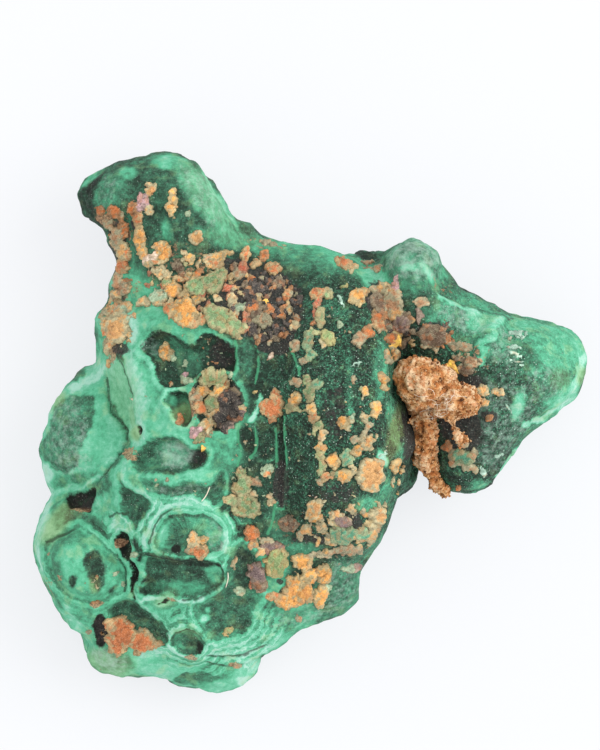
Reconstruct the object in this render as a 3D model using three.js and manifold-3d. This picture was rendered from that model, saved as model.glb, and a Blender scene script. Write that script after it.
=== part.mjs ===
// Malachite specimen: a lobed green stone that carries an iron-stained mineral crust.
// Millimetres, +Z up. The stone lies on a broken flat underside at z = 0, with its banded side up.
//
//   malachite_stone    one solid: rounded lobes grown together, flat underneath
//   limonite_bridge    crumbly brown lump, column and branch that fill the cleft between two lobes
//   crust_...          the larger plates of crust, each lying on the stone
import * as THREE from "three";
import { ImprovedNoise } from "three/addons/math/ImprovedNoise.js";
import { mergeVertices } from "three/addons/utils/BufferGeometryUtils.js";
import Module from "manifold-3d";

const wasm = await Module();
wasm.setup();

// Driving dimensions
const GAP = 0.3; // clearance between pieces that touch on the real thing
const CUT_SIZE = 120; // side of the block that cuts the underside flat
const CROWN_SQUARENESS = 0.76; // 1 is an ellipsoid, smaller is flatter on top and steeper at the sides
const KEEL_SQUARENESS = 0.92;
const LOBE_RINGS = 14;
const LUMP_DETAIL = 2; // times the faces of a lump of filling are divided
const LUMP_ROUGHNESS = 1.6; // how much rougher the filling is than the stone
const WELD = 1e-4; // vertices closer than this become one
const COARSE_RELIEF = { pitch: 7.5, height: 0.7 };
const FINE_RELIEF = { pitch: 2.6, height: 0.22 };
const PLATE_STAND = 0.9; // how far a plate stands proud of the stone
const PLATE_DEPTH = 2.6; // how deep it would reach if the stone were not cut out of it
const PLATE_SIDES = 9;
const PLATE_TAPER = 0.84; // width of a plate's top over that of its foot
const PLATE_EDGE_WAVES = [{ count: 3, depth: 0.13 }, { count: 5, depth: 0.08 }];
const RAY_HEIGHT = 60; // plates are dropped on to the stone from here

const NOISE_START = new THREE.Vector3(11.3, -4.7, 7.9); // keeps the origin off a corner of the noise

const noise = new ImprovedNoise();

const MATERIALS = {
  malachite: new THREE.MeshStandardMaterial({ color: 0x4f8f6e, roughness: 0.7, metalness: 0 }),
  limonite: new THREE.MeshStandardMaterial({ color: 0xb08058, roughness: 0.95, metalness: 0 }),
  crust: new THREE.MeshStandardMaterial({ color: 0xcfa06c, roughness: 0.9, metalness: 0 }),
};

// Outlines run clockwise seen from above, as [x, y]. A lobe is widest at its waist height, its keel is
// the height where it would end below, and its crown is a low paraboloid: highest at apex, falling by
// fall.x and fall.y per square millimetre.
const LOBES = [
  {
    part: "body", centre: [-7, -4], waist: 8, keel: -2.5, columns: 38,
    apex: [-5, -1, 22], fall: [0.009, 0.013],
    outline: [
      [-15, 19], [-8.4, 21.2], [-6, 21.2], [-4.8, 19.6], [0, 18.9], [6.8, 16.8], [8.9, 12],
      [9.9, 5], [10.7, -1], [10.5, -7], [8.2, -11.5], [6.2, -15.5], [5.9, -19], [2, -21.9],
      [-2, -23.2], [-4.8, -25.6], [-10, -28], [-17.5, -27.7], [-23, -26.5], [-23.6, -21],
      [-23, -13], [-26, -8], [-21, 0], [-22.9, 6.5], [-23, 9.5], [-21, 12.5], [-20.5, 16.5],
    ],
  },
  {
    part: "ridge", centre: [3, -1], waist: 9, keel: -1, columns: 32,
    apex: [3.5, -1, 27], fall: [0.05, 0.028],
    outline: [
      [-5.8, 15], [-1, 18.2], [3.8, 17.8], [6.7, 16], [8.6, 12], [9.7, 5], [10.4, -1], [10.1, -6.5],
      [7.8, -11], [5.6, -15.5], [1, -18], [-2.5, -16], [-3.2, -10], [-4, -3], [-5, 6],
    ],
  },
  {
    part: "horn", centre: [-14.5, 20.5], waist: 9.5, keel: 1.5, columns: 30,
    apex: [-13, 22, 17.5], fall: [0.025, 0.02],
    outline: [
      [-25.2, 24.5], [-23, 26.8], [-19.5, 28.6], [-15.8, 29.2], [-12.2, 27.8], [-9.3, 23.4],
      [-7.6, 18.5], [-10, 14], [-16, 11.5], [-21.2, 13], [-21.1, 17.6], [-23, 21.2],
    ],
  },
  {
    part: "left shoulder", centre: [-23.5, -1.5], waist: 7.5, keel: 0.8, columns: 26,
    apex: [-23, -1, 14.5], fall: [0.05, 0.04],
    outline: [
      [-28, 2.4], [-24.5, 5], [-21, 6], [-18.6, 1.5], [-18.4, -3], [-21, -7.5], [-25.5, -8.8],
      [-28.8, -6.8], [-29.4, -2.5],
    ],
  },
  {
    part: "ring lobe", centre: [-23.5, -15.5], waist: 7.5, keel: -0.8, columns: 30,
    apex: [-22.5, -15.5, 15.5], fall: [0.03, 0.03],
    outline: [
      [-28.4, -8.6], [-24, -7.4], [-20, -9], [-17.5, -14], [-17.8, -20], [-21.5, -23.5],
      [-26.2, -22], [-29.2, -18], [-30.4, -14],
    ],
  },
  {
    part: "lower lip", centre: [-11.5, -25], waist: 5, keel: -1.5, columns: 24,
    apex: [-11.5, -24, 10.5], fall: [0.03, 0.05],
    outline: [
      [-17.5, -22], [-11.5, -20.5], [-6.5, -22.5], [-5.4, -26], [-7, -28.8], [-12.3, -29.1],
      [-17.2, -27.8],
    ],
  },
  {
    part: "lower foot", centre: [-21, -25], waist: 4, keel: -1.5, columns: 16,
    apex: [-21, -24.5, 10], fall: [0.03, 0.05],
    outline: [[-24.6, -23.2], [-20, -21.5], [-17, -24], [-17.3, -27.6], [-21.5, -27.6], [-23.9, -26.3]],
  },
  {
    part: "under the cleft", centre: [9, -7.5], waist: 4.5, keel: -1.5, columns: 16,
    apex: [9, -6, 8.5], fall: [0.05, 0.05],
    outline: [[6, -2], [12, -3], [12.6, -5.3], [10.6, -7.6], [9.2, -9], [6, -9.5]],
  },
  {
    part: "knob behind", centre: [6.8, 16.5], waist: 4.5, keel: 0.5, columns: 12,
    apex: [6.8, 16.5, 9], fall: [0.2, 0.2],
    outline: [[4.4, 17.2], [5.4, 18.7], [7.8, 18.7], [9, 17], [7, 14]],
  },
  {
    part: "right arm", centre: [12, 11], waist: 8, keel: 0.5, columns: 26,
    apex: [11.5, 14, 18.5], fall: [0.035, 0.02],
    outline: [
      [6.5, 16.5], [8.3, 18.2], [11.2, 19.6], [13.8, 18.3], [16, 14.9], [19, 11.5], [19.5, 6],
      [16, 2.5], [11.6, 3.5], [9, 8], [6.5, 12],
    ],
  },
  {
    part: "right lobe", centre: [19.5, 3], waist: 8, keel: -2, columns: 34,
    apex: [19, 5, 18.5], fall: [0.035, 0.035],
    outline: [
      [13.5, 13.5], [16.5, 14.4], [18.1, 13.2], [21, 11.8], [25.6, 10.8], [28.8, 8.8], [30.1, 5.2],
      [28.9, 2.2], [25.6, -0.6], [22.8, -3.2], [20.7, -6.5], [18.7, -8], [15, -8.1], [13.2, -4.4],
      [11.8, -1.5], [10.6, 2.5], [10.3, 8],
    ],
  },
];

// The brown filling of the cleft, as overlapping lumps [x, y, z, half-width x, y, z].
const LIMONITE_LUMPS = [
  { part: "crown", at: [12.2, 4, 18.2], size: [3.3, 2.9, 3.6] },
  { part: "crown shoulder", at: [15.6, 2.2, 18], size: [3, 2.4, 2.6] },
  { part: "crown root", at: [12.2, 2.6, 13.5], size: [2.6, 2.3, 4] },
];
const LIMONITE_LIMBS = [
  { part: "column", radius: 1.35, path: [[12.3, 2.8, 16.5], [12.3, -1, 14.6], [12.6, -4.6, 11.8]] },
  { part: "column foot", radius: 0.95, path: [[12.5, -4.4, 12], [13.8, -6, 10.4], [15, -7.6, 9.6]] },
  { part: "strut", radius: 0.55, path: [[12.4, 1, 15.4], [11.2, 0.2, 15.4], [9.9, -0.2, 15.6]] },
  { part: "branch", radius: 0.75, path: [[13.6, 1.4, 17.2], [15.4, -0.6, 18.4], [16.6, -2.6, 18.2]] },
];
const LIMB_CURVE_SEGMENTS = 4;
const LIMB_STEPS = 5;

// Crust plates: middle [x, y], half-length, half-width and the turn of the long side in degrees.
const CRUST_PLATES = {
  salmon_plate: [-20.7, -23.2, 1.9, 1.5, 80],
  salmon_wedge: [-17.6, -24.1, 1.4, 0.9, -15],
  ring_plate: [-12, -13.3, 1.5, 1.05, 100],
  pit_plate: [-10.3, 3.6, 1.7, 1.3, 60],
  pit_black: [-8.4, 1.7, 1.9, 1.2, 95],
  amber_plate: [-13.4, 11.5, 1.3, 1.1, 40],
  olive_band: [-9.3, 10.4, 2.4, 1.2, 20],
  olive_disc: [-12, 14.2, 1.2, 0.9, 10],
  horn_left: [-18, 18.6, 1.5, 0.7, 80],
  horn_right: [-14.7, 23.4, 1.3, 0.6, 85],
  shoulder_plate: [-20.7, 9.7, 1.4, 1.3, 0],
  spongy_left: [-4.8, 10.9, 1.1, 0.9, 30],
  spongy_right: [8, 12.9, 1.4, 1.1, 160],
  star_plate: [-4, 1.6, 1.4, 1.2, 70],
  tall_plate: [0.6, -9.4, 1.25, 0.7, 100],
  large_oval: [6.3, -5.8, 1.75, 1.2, 95],
  olive_patch: [-7.1, -8, 2.3, 1.7, 80],
  brown_lump: [-2.2, -10.8, 1.1, 0.9, 0],
  fern_plate: [-3.4, -15.2, 1.2, 0.9, 80],
  teal_plate: [3, -12.1, 1.1, 0.9, 20],
  purple_plate: [-5.7, -15.7, 0.9, 0.8, 95],
  plum_plate: [-3.9, -12.9, 1.2, 0.6, 0],
  amber_cluster: [-1.5, -18.4, 1.7, 1.3, 30],
  amber_tail: [1.6, -18.8, 1.1, 0.8, 90],
  brown_crumb: [-5.3, -17.8, 0.75, 0.65, 0],
};

function toSolid(geometry) {
  const bare = geometry.index ? geometry.toNonIndexed() : geometry.clone();
  bare.deleteAttribute("normal");
  bare.deleteAttribute("uv");
  const merged = mergeVertices(bare, WELD);
  const solid = new wasm.Manifold(
    new wasm.Mesh({
      numProp: 3,
      vertProperties: new Float32Array(merged.attributes.position.array),
      triVerts: new Uint32Array(merged.index.array),
    }),
  );
  if (solid.volume() <= 0) throw new Error("a solid is inside out");
  return solid;
}

function toGeometry(solid) {
  const { vertProperties, triVerts } = solid.getMesh();
  const geometry = new THREE.BufferGeometry();
  geometry.setAttribute("position", new THREE.BufferAttribute(new Float32Array(vertProperties), 3));
  geometry.setIndex(new THREE.BufferAttribute(new Uint32Array(triVerts), 1));
  geometry.computeVertexNormals();
  return geometry;
}

function relief(x, y, z, { pitch, height }) {
  const place = new THREE.Vector3(x, y, z).divideScalar(pitch).add(NOISE_START);
  return height * noise.noise(place.x, place.y, place.z);
}

// Moves each vertex along its own normal by two sizes of noise, so that no surface is machine-smooth.
function roughen(geometry, amount = 1) {
  geometry.computeVertexNormals();
  const position = geometry.attributes.position;
  const normal = geometry.attributes.normal;
  for (let i = 0; i < position.count; i += 1) {
    const [x, y, z] = [position.getX(i), position.getY(i), position.getZ(i)];
    const lift = amount * (relief(x, y, z, COARSE_RELIEF) + relief(x, y, z, FINE_RELIEF));
    position.setXYZ(i, x + normal.getX(i) * lift, y + normal.getY(i) * lift, z + normal.getZ(i) * lift);
  }
  return geometry;
}

function welded(geometry) {
  geometry.deleteAttribute("normal");
  geometry.deleteAttribute("uv");
  return mergeVertices(geometry, WELD);
}

// A sphere whose equator is drawn out to the lobe's outline and whose crown follows its paraboloid.
function lobeGeometry({ outline, centre, waist, keel, apex, fall, columns }) {
  const equator = new THREE.CatmullRomCurve3(
    outline.map(([x, y]) => new THREE.Vector3(x, y, 0)), true, "centripetal",
  );
  const middle = new THREE.Vector3(centre[0], centre[1], 0);
  const sphere = new THREE.SphereGeometry(1, columns, LOBE_RINGS);
  const position = sphere.attributes.position;
  const uv = sphere.attributes.uv;
  for (let i = 0; i < position.count; i += 1) {
    const latitude = (uv.getY(i) - 0.5) * Math.PI;
    const turn = (i % (columns + 1)) / columns;
    const squareness = latitude > 0 ? CROWN_SQUARENESS : KEEL_SQUARENESS;
    const reach = Math.abs(Math.cos(latitude)) ** squareness;
    const climb = Math.abs(Math.sin(latitude)) ** squareness;
    const { x, y } = middle.clone().lerp(equator.getPointAt((1 - turn) % 1), reach);
    const crown = apex[2] - fall[0] * (x - apex[0]) ** 2 - fall[1] * (y - apex[1]) ** 2;
    const end = latitude > 0 ? crown : keel;
    position.setXYZ(i, x, y, waist + (end - waist) * climb);
  }
  return welded(sphere);
}

function makeStone() {
  const lobes = LOBES.map((lobe) => toSolid(roughen(lobeGeometry(lobe))));
  const grown = lobes.reduce((whole, lobe) => whole.add(lobe));
  const block = new THREE.BoxGeometry(CUT_SIZE, CUT_SIZE, CUT_SIZE);
  block.translate(0, 0, -CUT_SIZE / 2);
  return grown.subtract(toSolid(block));
}

function lumpGeometry({ at, size }) {
  const lump = new THREE.IcosahedronGeometry(1, LUMP_DETAIL);
  lump.scale(...size);
  lump.translate(...at);
  return roughen(welded(lump), LUMP_ROUGHNESS);
}

function limbGeometry({ radius, path }) {
  const section = new THREE.Shape().absarc(0, 0, radius, 0, 2 * Math.PI, false);
  const route = new THREE.CatmullRomCurve3(path.map((point) => new THREE.Vector3(...point)));
  const limb = new THREE.ExtrudeGeometry(section, {
    curveSegments: LIMB_CURVE_SEGMENTS, steps: LIMB_STEPS, extrudePath: route, bevelEnabled: false,
  });
  return welded(limb);
}

// The stone pushed out by GAP on all sides, which keeps the filling clear of it.
function grownStone(stone) {
  const geometry = toGeometry(stone);
  const position = geometry.attributes.position;
  const normal = geometry.attributes.normal;
  for (let i = 0; i < position.count; i += 1) {
    position.setXYZ(
      i,
      position.getX(i) + normal.getX(i) * GAP,
      position.getY(i) + normal.getY(i) * GAP,
      position.getZ(i) + normal.getZ(i) * GAP,
    );
  }
  return toSolid(geometry);
}

// What cutting leaves of a piece, without the loose slivers.
function largestBody(solid) {
  return solid.decompose().reduce((best, body) => (body.volume() > best.volume() ? body : best));
}

// The filling of the cleft as one body, with what lies inside the stone cut away.
function makeLimonite(grown) {
  const solids = [...LIMONITE_LUMPS.map(lumpGeometry), ...LIMONITE_LIMBS.map(limbGeometry)].map(toSolid);
  return largestBody(solids.reduce((whole, piece) => whole.add(piece)).subtract(grown));
}

// A many-sided plate with an uneven edge, whose top stands PLATE_STAND above its origin.
function plateGeometry(index, halfLength, halfWidth) {
  const plate = new THREE.CylinderGeometry(PLATE_TAPER, 1, PLATE_STAND + PLATE_DEPTH, PLATE_SIDES, 1);
  plate.rotateX(Math.PI / 2);
  plate.translate(0, 0, (PLATE_STAND - PLATE_DEPTH) / 2);
  const position = plate.attributes.position;
  for (let i = 0; i < position.count; i += 1) {
    const angle = Math.atan2(position.getY(i), position.getX(i));
    const uneven = PLATE_EDGE_WAVES.reduce(
      (reach, { count, depth }, order) => reach + depth * Math.sin(count * angle + (order + 1) * index), 1,
    );
    position.setX(i, position.getX(i) * halfLength * uneven);
    position.setY(i, position.getY(i) * halfWidth * uneven);
  }
  return plate;
}

// Each plate is dropped on to the stone, tilted to lie along it, and the stone is cut out of it.
function makePlates(stoneMesh, grown) {
  const caster = new THREE.Raycaster();
  const down = new THREE.Vector3(0, 0, -1);
  const up = new THREE.Vector3(0, 0, 1);
  const drop = (x, y) => {
    caster.set(new THREE.Vector3(x, y, RAY_HEIGHT), down);
    return caster.intersectObject(stoneMesh)[0].point;
  };
  return Object.entries(CRUST_PLATES).map(([name, [x, y, halfLength, halfWidth, degrees]], index) => {
    const slopeX = (drop(x + halfWidth, y).z - drop(x - halfWidth, y).z) / (2 * halfWidth);
    const slopeY = (drop(x, y + halfWidth).z - drop(x, y - halfWidth).z) / (2 * halfWidth);
    const facing = new THREE.Vector3(-slopeX, -slopeY, 1).normalize();
    const place = new THREE.Object3D();
    place.position.copy(drop(x, y));
    place.quaternion.setFromUnitVectors(up, facing);
    place.rotateZ(THREE.MathUtils.degToRad(degrees));
    place.updateMatrix();
    const blank = plateGeometry(index, halfLength, halfWidth).applyMatrix4(place.matrix);
    const plate = largestBody(toSolid(blank).subtract(grown));
    return namedMesh(`crust_${name}`, toGeometry(plate), MATERIALS.crust);
  });
}

function namedMesh(name, geometry, material) {
  const mesh = new THREE.Mesh(geometry, material);
  mesh.name = name;
  return mesh;
}

function build() {
  const specimen = new THREE.Group();
  const stone = makeStone();
  const grown = grownStone(stone);
  const stoneMesh = namedMesh("malachite_stone", toGeometry(stone), MATERIALS.malachite);
  const limoniteMesh = namedMesh("limonite_bridge", toGeometry(makeLimonite(grown)), MATERIALS.limonite);
  specimen.add(stoneMesh, limoniteMesh, ...makePlates(stoneMesh, grown));

  // Stand the whole specimen with the middle of its plan over the origin.
  specimen.updateMatrixWorld(true);
  const middle = new THREE.Box3().setFromObject(specimen, true).getCenter(new THREE.Vector3());
  specimen.position.set(-middle.x, -middle.y, 0);
  return specimen;
}

export default build();
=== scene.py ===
"""Malachite specimen: a lobed green stone with rings, hollows and terraces on its upper side, a
crumbly brown filling in one cleft and a scattered mineral crust.

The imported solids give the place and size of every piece. The fine surface of the stone is a set of
functions of the plan position, in millimetres from the frame's origin: each hollow, ring, line and
patch is one entry in the lists below."""

import math
from functools import partial, reduce

import bmesh
import bpy
import numpy as np
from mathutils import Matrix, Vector
from mathutils.bvhtree import BVHTree


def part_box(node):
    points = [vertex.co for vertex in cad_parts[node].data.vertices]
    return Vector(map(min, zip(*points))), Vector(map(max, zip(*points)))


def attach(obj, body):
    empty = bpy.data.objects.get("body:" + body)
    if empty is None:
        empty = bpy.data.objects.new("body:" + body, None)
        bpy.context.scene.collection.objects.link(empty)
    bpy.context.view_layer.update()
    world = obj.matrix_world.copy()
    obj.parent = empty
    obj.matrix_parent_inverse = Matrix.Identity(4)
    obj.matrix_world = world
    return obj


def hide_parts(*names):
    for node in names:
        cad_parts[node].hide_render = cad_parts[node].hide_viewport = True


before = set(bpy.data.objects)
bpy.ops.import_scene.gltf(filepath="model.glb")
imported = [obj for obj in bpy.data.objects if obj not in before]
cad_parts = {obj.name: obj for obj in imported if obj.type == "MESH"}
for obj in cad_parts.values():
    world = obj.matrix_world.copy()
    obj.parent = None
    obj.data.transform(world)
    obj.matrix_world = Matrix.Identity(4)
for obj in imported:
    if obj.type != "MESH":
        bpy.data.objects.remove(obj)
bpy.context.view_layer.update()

bl_info = {
    "name": "Malachite specimen",
    "version": (1, 0, 0),
    "blender": (4, 5, 0),
    "location": "View3D > Sidebar > Malachite",
    "description": "Builds the surface, filling and crust of a malachite specimen on its packed solids",
    "category": "Add Mesh",
}

MM = 0.001
TURN = 2 * math.pi
BODY = "root"

# In millimetres: where the flat underside ends, how soft a hollow's edge is unless it says, and a
# distance beyond every reach.
UNDERSIDE = 0.1
BLUR = 0.1
FAR = 9.0

# ---- The upper side of the stone, in millimetres from the frame's origin, seen from above ----

# Hollows and discs, each with its outline. depth is below the wall; floor is the tone inside (0
# black-green, 0.5 mid green, 1 pale mint); rim is the strength of the pale line on the edge; halo
# and reach are the tone of the wall around it and how far that goes.
HOLLOWS = {
    "wide hollow": dict(
        outline=((-17.9, 7.8), (-17.2, 9.0), (-15.6, 9.5), (-14.2, 9.1), (-12.9, 8.2), (-12.0, 8.3),
                 (-11.2, 9.0), (-10.2, 9.1), (-8.9, 8.5), (-7.9, 7.7), (-7.7, 6.4), (-8.0, 5.3),
                 (-9.2, 5.4), (-11.0, 5.5), (-12.4, 4.4), (-13.4, 3.8), (-15.2, 3.6), (-16.2, 4.4),
                 (-16.4, 5.8), (-17.0, 7.0)),
        depth=1.0, floor=0.25, rim=0.45, halo=0.62, reach=0.7),
    "olive pit": dict(
        outline=((-15.2, 2.2), (-14.6, 3.2), (-13.4, 3.3), (-12.6, 2.6), (-12.3, 1.2), (-12.5, 0.2),
                 (-13.3, -0.4), (-14.0, 0.4), (-14.4, 1.2)),
        depth=1.3, floor=0.28, rim=1.0, halo=0.72, reach=0.6),
    "crust hollow": dict(
        outline=((-12.3, 3.4), (-11.4, 5.0), (-9.0, 5.2), (-7.9, 4.2), (-7.3, 2.8), (-7.3, 1.2),
                 (-8.0, 0.0), (-9.2, -0.8), (-10.6, -0.9), (-11.6, 0.2), (-12.1, 1.6)),
        depth=1.2, floor=0.14, rim=0.55, halo=0.6, reach=0.7),
    "pinhole": dict(
        outline=((-18.0, -0.8), (-17.7, -0.35), (-17.3, -0.5), (-17.2, -1.0), (-17.6, -1.4)),
        depth=0.9, floor=0.02, rim=0.5, halo=0.8, reach=0.6),
    "lens": dict(
        outline=((-17.6, -2.6), (-16.4, -1.9), (-14.9, -1.5), (-13.6, -1.9), (-12.6, -2.6),
                 (-11.4, -2.7), (-10.6, -3.2), (-10.8, -4.0), (-11.6, -4.9), (-13.0, -5.2),
                 (-14.2, -5.5), (-15.8, -5.2), (-17.6, -5.4), (-18.6, -4.9), (-18.9, -3.8)),
        depth=0.8, floor=0.3, rim=0.3, halo=0.7, reach=0.8, blur=0.25),
    "speckled strip": dict(
        outline=((-18.0, -6.3), (-16.0, -6.1), (-14.6, -6.7), (-12.2, -6.3), (-10.4, -6.5),
                 (-9.4, -5.2), (-8.9, -5.6), (-8.9, -7.2), (-9.6, -8.5), (-10.6, -8.3),
                 (-12.0, -7.6), (-14.0, -7.6), (-16.0, -7.4), (-17.0, -7.1)),
        depth=0.35, floor=0.33, rim=0.2, halo=0.68, reach=0.4, blur=0.45),
    "wedge": dict(
        outline=((-19.9, -5.6), (-19.3, -6.6), (-18.4, -7.3), (-17.0, -7.9), (-16.5, -8.5),
                 (-17.1, -9.4), (-17.8, -10.4), (-18.3, -11.4), (-18.9, -10.3), (-19.9, -9.8),
                 (-20.1, -8.0)),
        depth=0.45, floor=0.3, rim=0.3, halo=0.64, reach=0.3, blur=0.35),
    "fold": dict(
        outline=((-26.1, -8.0), (-25.0, -7.7), (-24.2, -7.6), (-23.0, -7.1), (-22.9, -8.2),
                 (-23.2, -9.0), (-23.5, -9.9), (-24.6, -9.4), (-25.8, -9.2)),
        depth=0.9, floor=0.13, rim=0.2, halo=0.5, reach=0.4),
    "ring lobe": dict(
        outline=((-28.2, -12.7), (-26.6, -11.9), (-24.9, -11.0), (-23.6, -11.6), (-21.6, -13.3),
                 (-19.9, -14.8), (-19.2, -16.2), (-19.4, -17.8), (-20.8, -18.7), (-22.8, -19.6),
                 (-24.8, -19.2), (-26.8, -17.9), (-28.0, -16.2), (-28.4, -14.3)),
        depth=0.35, floor=0.58, rim=0.7, halo=0.6, reach=0.7, dome=0.8),
    "upper crack": dict(
        outline=((-20.8, -12.7), (-20.0, -11.8), (-19.1, -12.0), (-18.8, -12.8), (-18.8, -14.0),
                 (-19.0, -14.6), (-19.6, -14.5), (-20.2, -13.6)),
        depth=0.9, floor=0.1, rim=0.1, halo=0.7, reach=0.5),
    "long crack": dict(
        outline=((-18.9, -14.6), (-18.2, -14.9), (-17.8, -15.8), (-17.9, -16.6), (-18.3, -17.2),
                 (-18.4, -18.8), (-18.7, -18.7), (-18.7, -17.0), (-18.5, -16.0), (-18.8, -15.4)),
        depth=1.0, floor=0.03, rim=0.35, halo=0.62, reach=0.4),
    "bean": dict(
        outline=((-17.9, -14.2), (-16.4, -13.9), (-14.6, -14.0), (-13.0, -14.0), (-11.2, -13.9),
                 (-9.8, -14.3), (-9.0, -15.7), (-9.6, -17.0), (-11.2, -18.0), (-13.4, -18.4),
                 (-15.0, -17.6), (-16.0, -18.0), (-17.5, -18.4), (-17.8, -17.6), (-17.3, -16.4),
                 (-16.9, -15.6)),
        depth=0.95, floor=0.27, rim=0.05, halo=0.58, reach=0.5),
    "dark patch": dict(
        outline=((-12.2, -19.3), (-11.2, -18.7), (-9.6, -17.7), (-8.5, -16.4), (-8.7, -15.0),
                 (-8.2, -13.4), (-7.3, -12.5), (-6.2, -13.3), (-5.2, -14.6), (-5.6, -16.4),
                 (-5.0, -18.3), (-5.5, -19.3), (-6.1, -20.3), (-6.3, -21.5), (-7.2, -22.5),
                 (-8.9, -23.0), (-10.4, -22.8), (-11.4, -21.6), (-12.0, -20.6)),
        depth=0.4, floor=0.34, rim=0.1, halo=0.8, reach=0.7, blur=0.6),
    "cup": dict(
        outline=((-14.8, -22.9), (-14.2, -22.1), (-13.0, -21.6), (-11.8, -22.0), (-11.1, -23.0),
                 (-11.4, -24.0), (-12.6, -24.6), (-13.9, -24.3), (-14.6, -23.7)),
        depth=0.6, floor=0.46, rim=0.6, halo=0.76, reach=0.7),
    "low patch": dict(
        outline=((-20.9, -19.6), (-19.2, -19.1), (-18.0, -19.4), (-17.2, -20.2), (-16.4, -21.0),
                 (-15.3, -22.0), (-15.1, -23.0), (-15.5, -23.6), (-16.8, -23.6), (-19.0, -22.8),
                 (-21.0, -21.6), (-21.4, -20.4)),
        depth=0.45, floor=0.28, rim=0.1, halo=0.66, reach=0.4, blur=0.45),
    "black corner": dict(
        outline=((-22.6, -20.7), (-21.9, -21.2), (-21.7, -22.6), (-22.0, -23.8), (-22.5, -24.3),
                 (-23.1, -23.4), (-23.3, -22.2), (-23.0, -21.2)),
        depth=0.6, floor=0.02, rim=0.0, halo=0.55, reach=0.3),
    "ring": dict(
        outline=((-16.0, -12.6), (-15.7, -11.2), (-14.9, -10.2), (-13.6, -9.6), (-12.0, -9.5),
                 (-10.4, -9.8), (-9.3, -10.7), (-8.9, -11.8), (-9.3, -12.9), (-10.6, -13.3),
                 (-12.4, -13.5), (-14.4, -13.5), (-15.6, -13.3)),
        depth=0.35, floor=0.5, rim=0.0, halo=0.66, reach=1.5, dome=0.2),
    "eye": dict(
        outline=((-16.0, -19.3), (-15.5, -18.7), (-15.0, -18.3), (-14.7, -18.6), (-15.1, -19.0)),
        depth=0.5, floor=0.12, rim=1.0, halo=0.75, reach=0.5),
    "first terrace": dict(
        outline=((-7.3, -0.6), (-6.6, -0.2), (-5.7, -1.0), (-5.5, -2.4), (-5.9, -3.6), (-6.7, -3.2),
                 (-7.3, -1.8)),
        depth=0.3, floor=0.14, rim=0.1, halo=0.42, reach=0.35, blur=0.3),
    "second terrace": dict(
        outline=((-5.4, 0.2), (-4.6, 0.0), (-3.6, -0.6), (-3.3, -2.0), (-3.5, -3.4), (-4.3, -4.0),
                 (-5.2, -3.6), (-5.6, -2.0)),
        depth=0.3, floor=0.18, rim=0.1, halo=0.4, reach=0.35, blur=0.3),
    "slot": dict(
        outline=((-3.1, 0.8), (-2.75, 0.8), (-2.55, -3.4), (-2.7, -8.6), (-3.1, -8.4), (-3.2, -3.4)),
        depth=0.45, floor=0.08, rim=0.1, halo=0.38, reach=0.3, blur=0.2),
}

# Crisp-edged patches of tone: outline, tone.
PATCHES = (
    (((-27.6, 1.4), (-27.0, 2.2), (-25.9, 2.9), (-24.8, 2.9), (-23.4, 3.0), (-23.0, 2.2), (-22.9, 0.9),
      (-23.2, 0.0), (-23.7, -1.1), (-24.2, -2.4), (-24.7, -3.6), (-24.8, -4.8), (-25.6, -5.4),
      (-26.3, -5.8), (-27.2, -5.2), (-28.2, -4.5), (-28.9, -3.8), (-29.3, -2.8), (-28.9, -1.9),
      (-28.2, -1.1), (-27.9, 0.2)), 0.4),
    (((-25.8, 4.3), (-25.4, 5.4), (-24.4, 6.1), (-23.6, 5.6), (-24.3, 4.9), (-25.0, 4.2)), 0.38),
    (((-23.9, -14.3), (-23.1, -13.7), (-22.2, -14.4), (-21.8, -15.6), (-22.1, -17.0), (-22.5, -17.9),
      (-23.1, -17.2), (-23.5, -16.2), (-23.9, -15.4)), 0.2),
    (((-25.3, -16.6), (-24.8, -16.3), (-24.5, -16.8), (-24.8, -17.5), (-25.2, -17.3)), 0.2),
    (((-21.6, -17.9), (-21.2, -17.3), (-20.7, -17.5), (-20.8, -18.1), (-21.3, -18.3)), 0.25),
    (((-21.6, 7.0), (-20.6, 7.0), (-20.0, 5.8), (-19.2, 4.6), (-18.6, 3.0), (-18.4, 1.8), (-18.3, 0.6),
      (-18.9, -0.4), (-19.6, -0.6), (-20.2, 0.6), (-21.0, 2.4), (-21.6, 4.4)), 0.7),
    (((-19.8, 7.4), (-18.8, 7.6), (-18.0, 6.0), (-17.5, 4.6), (-16.9, 3.0), (-16.4, 2.0), (-16.9, 0.8),
      (-17.0, -0.3), (-18.0, -0.4), (-18.2, 1.2), (-18.5, 2.8), (-19.0, 4.2), (-19.6, 5.8)), 0.86),
    (((-14.6, -27.9), (-13.2, -27.2), (-11.8, -27.0), (-10.2, -27.4), (-10.0, -28.0), (-11.4, -28.5),
      (-13.4, -28.6)), 0.42),
)

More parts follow.
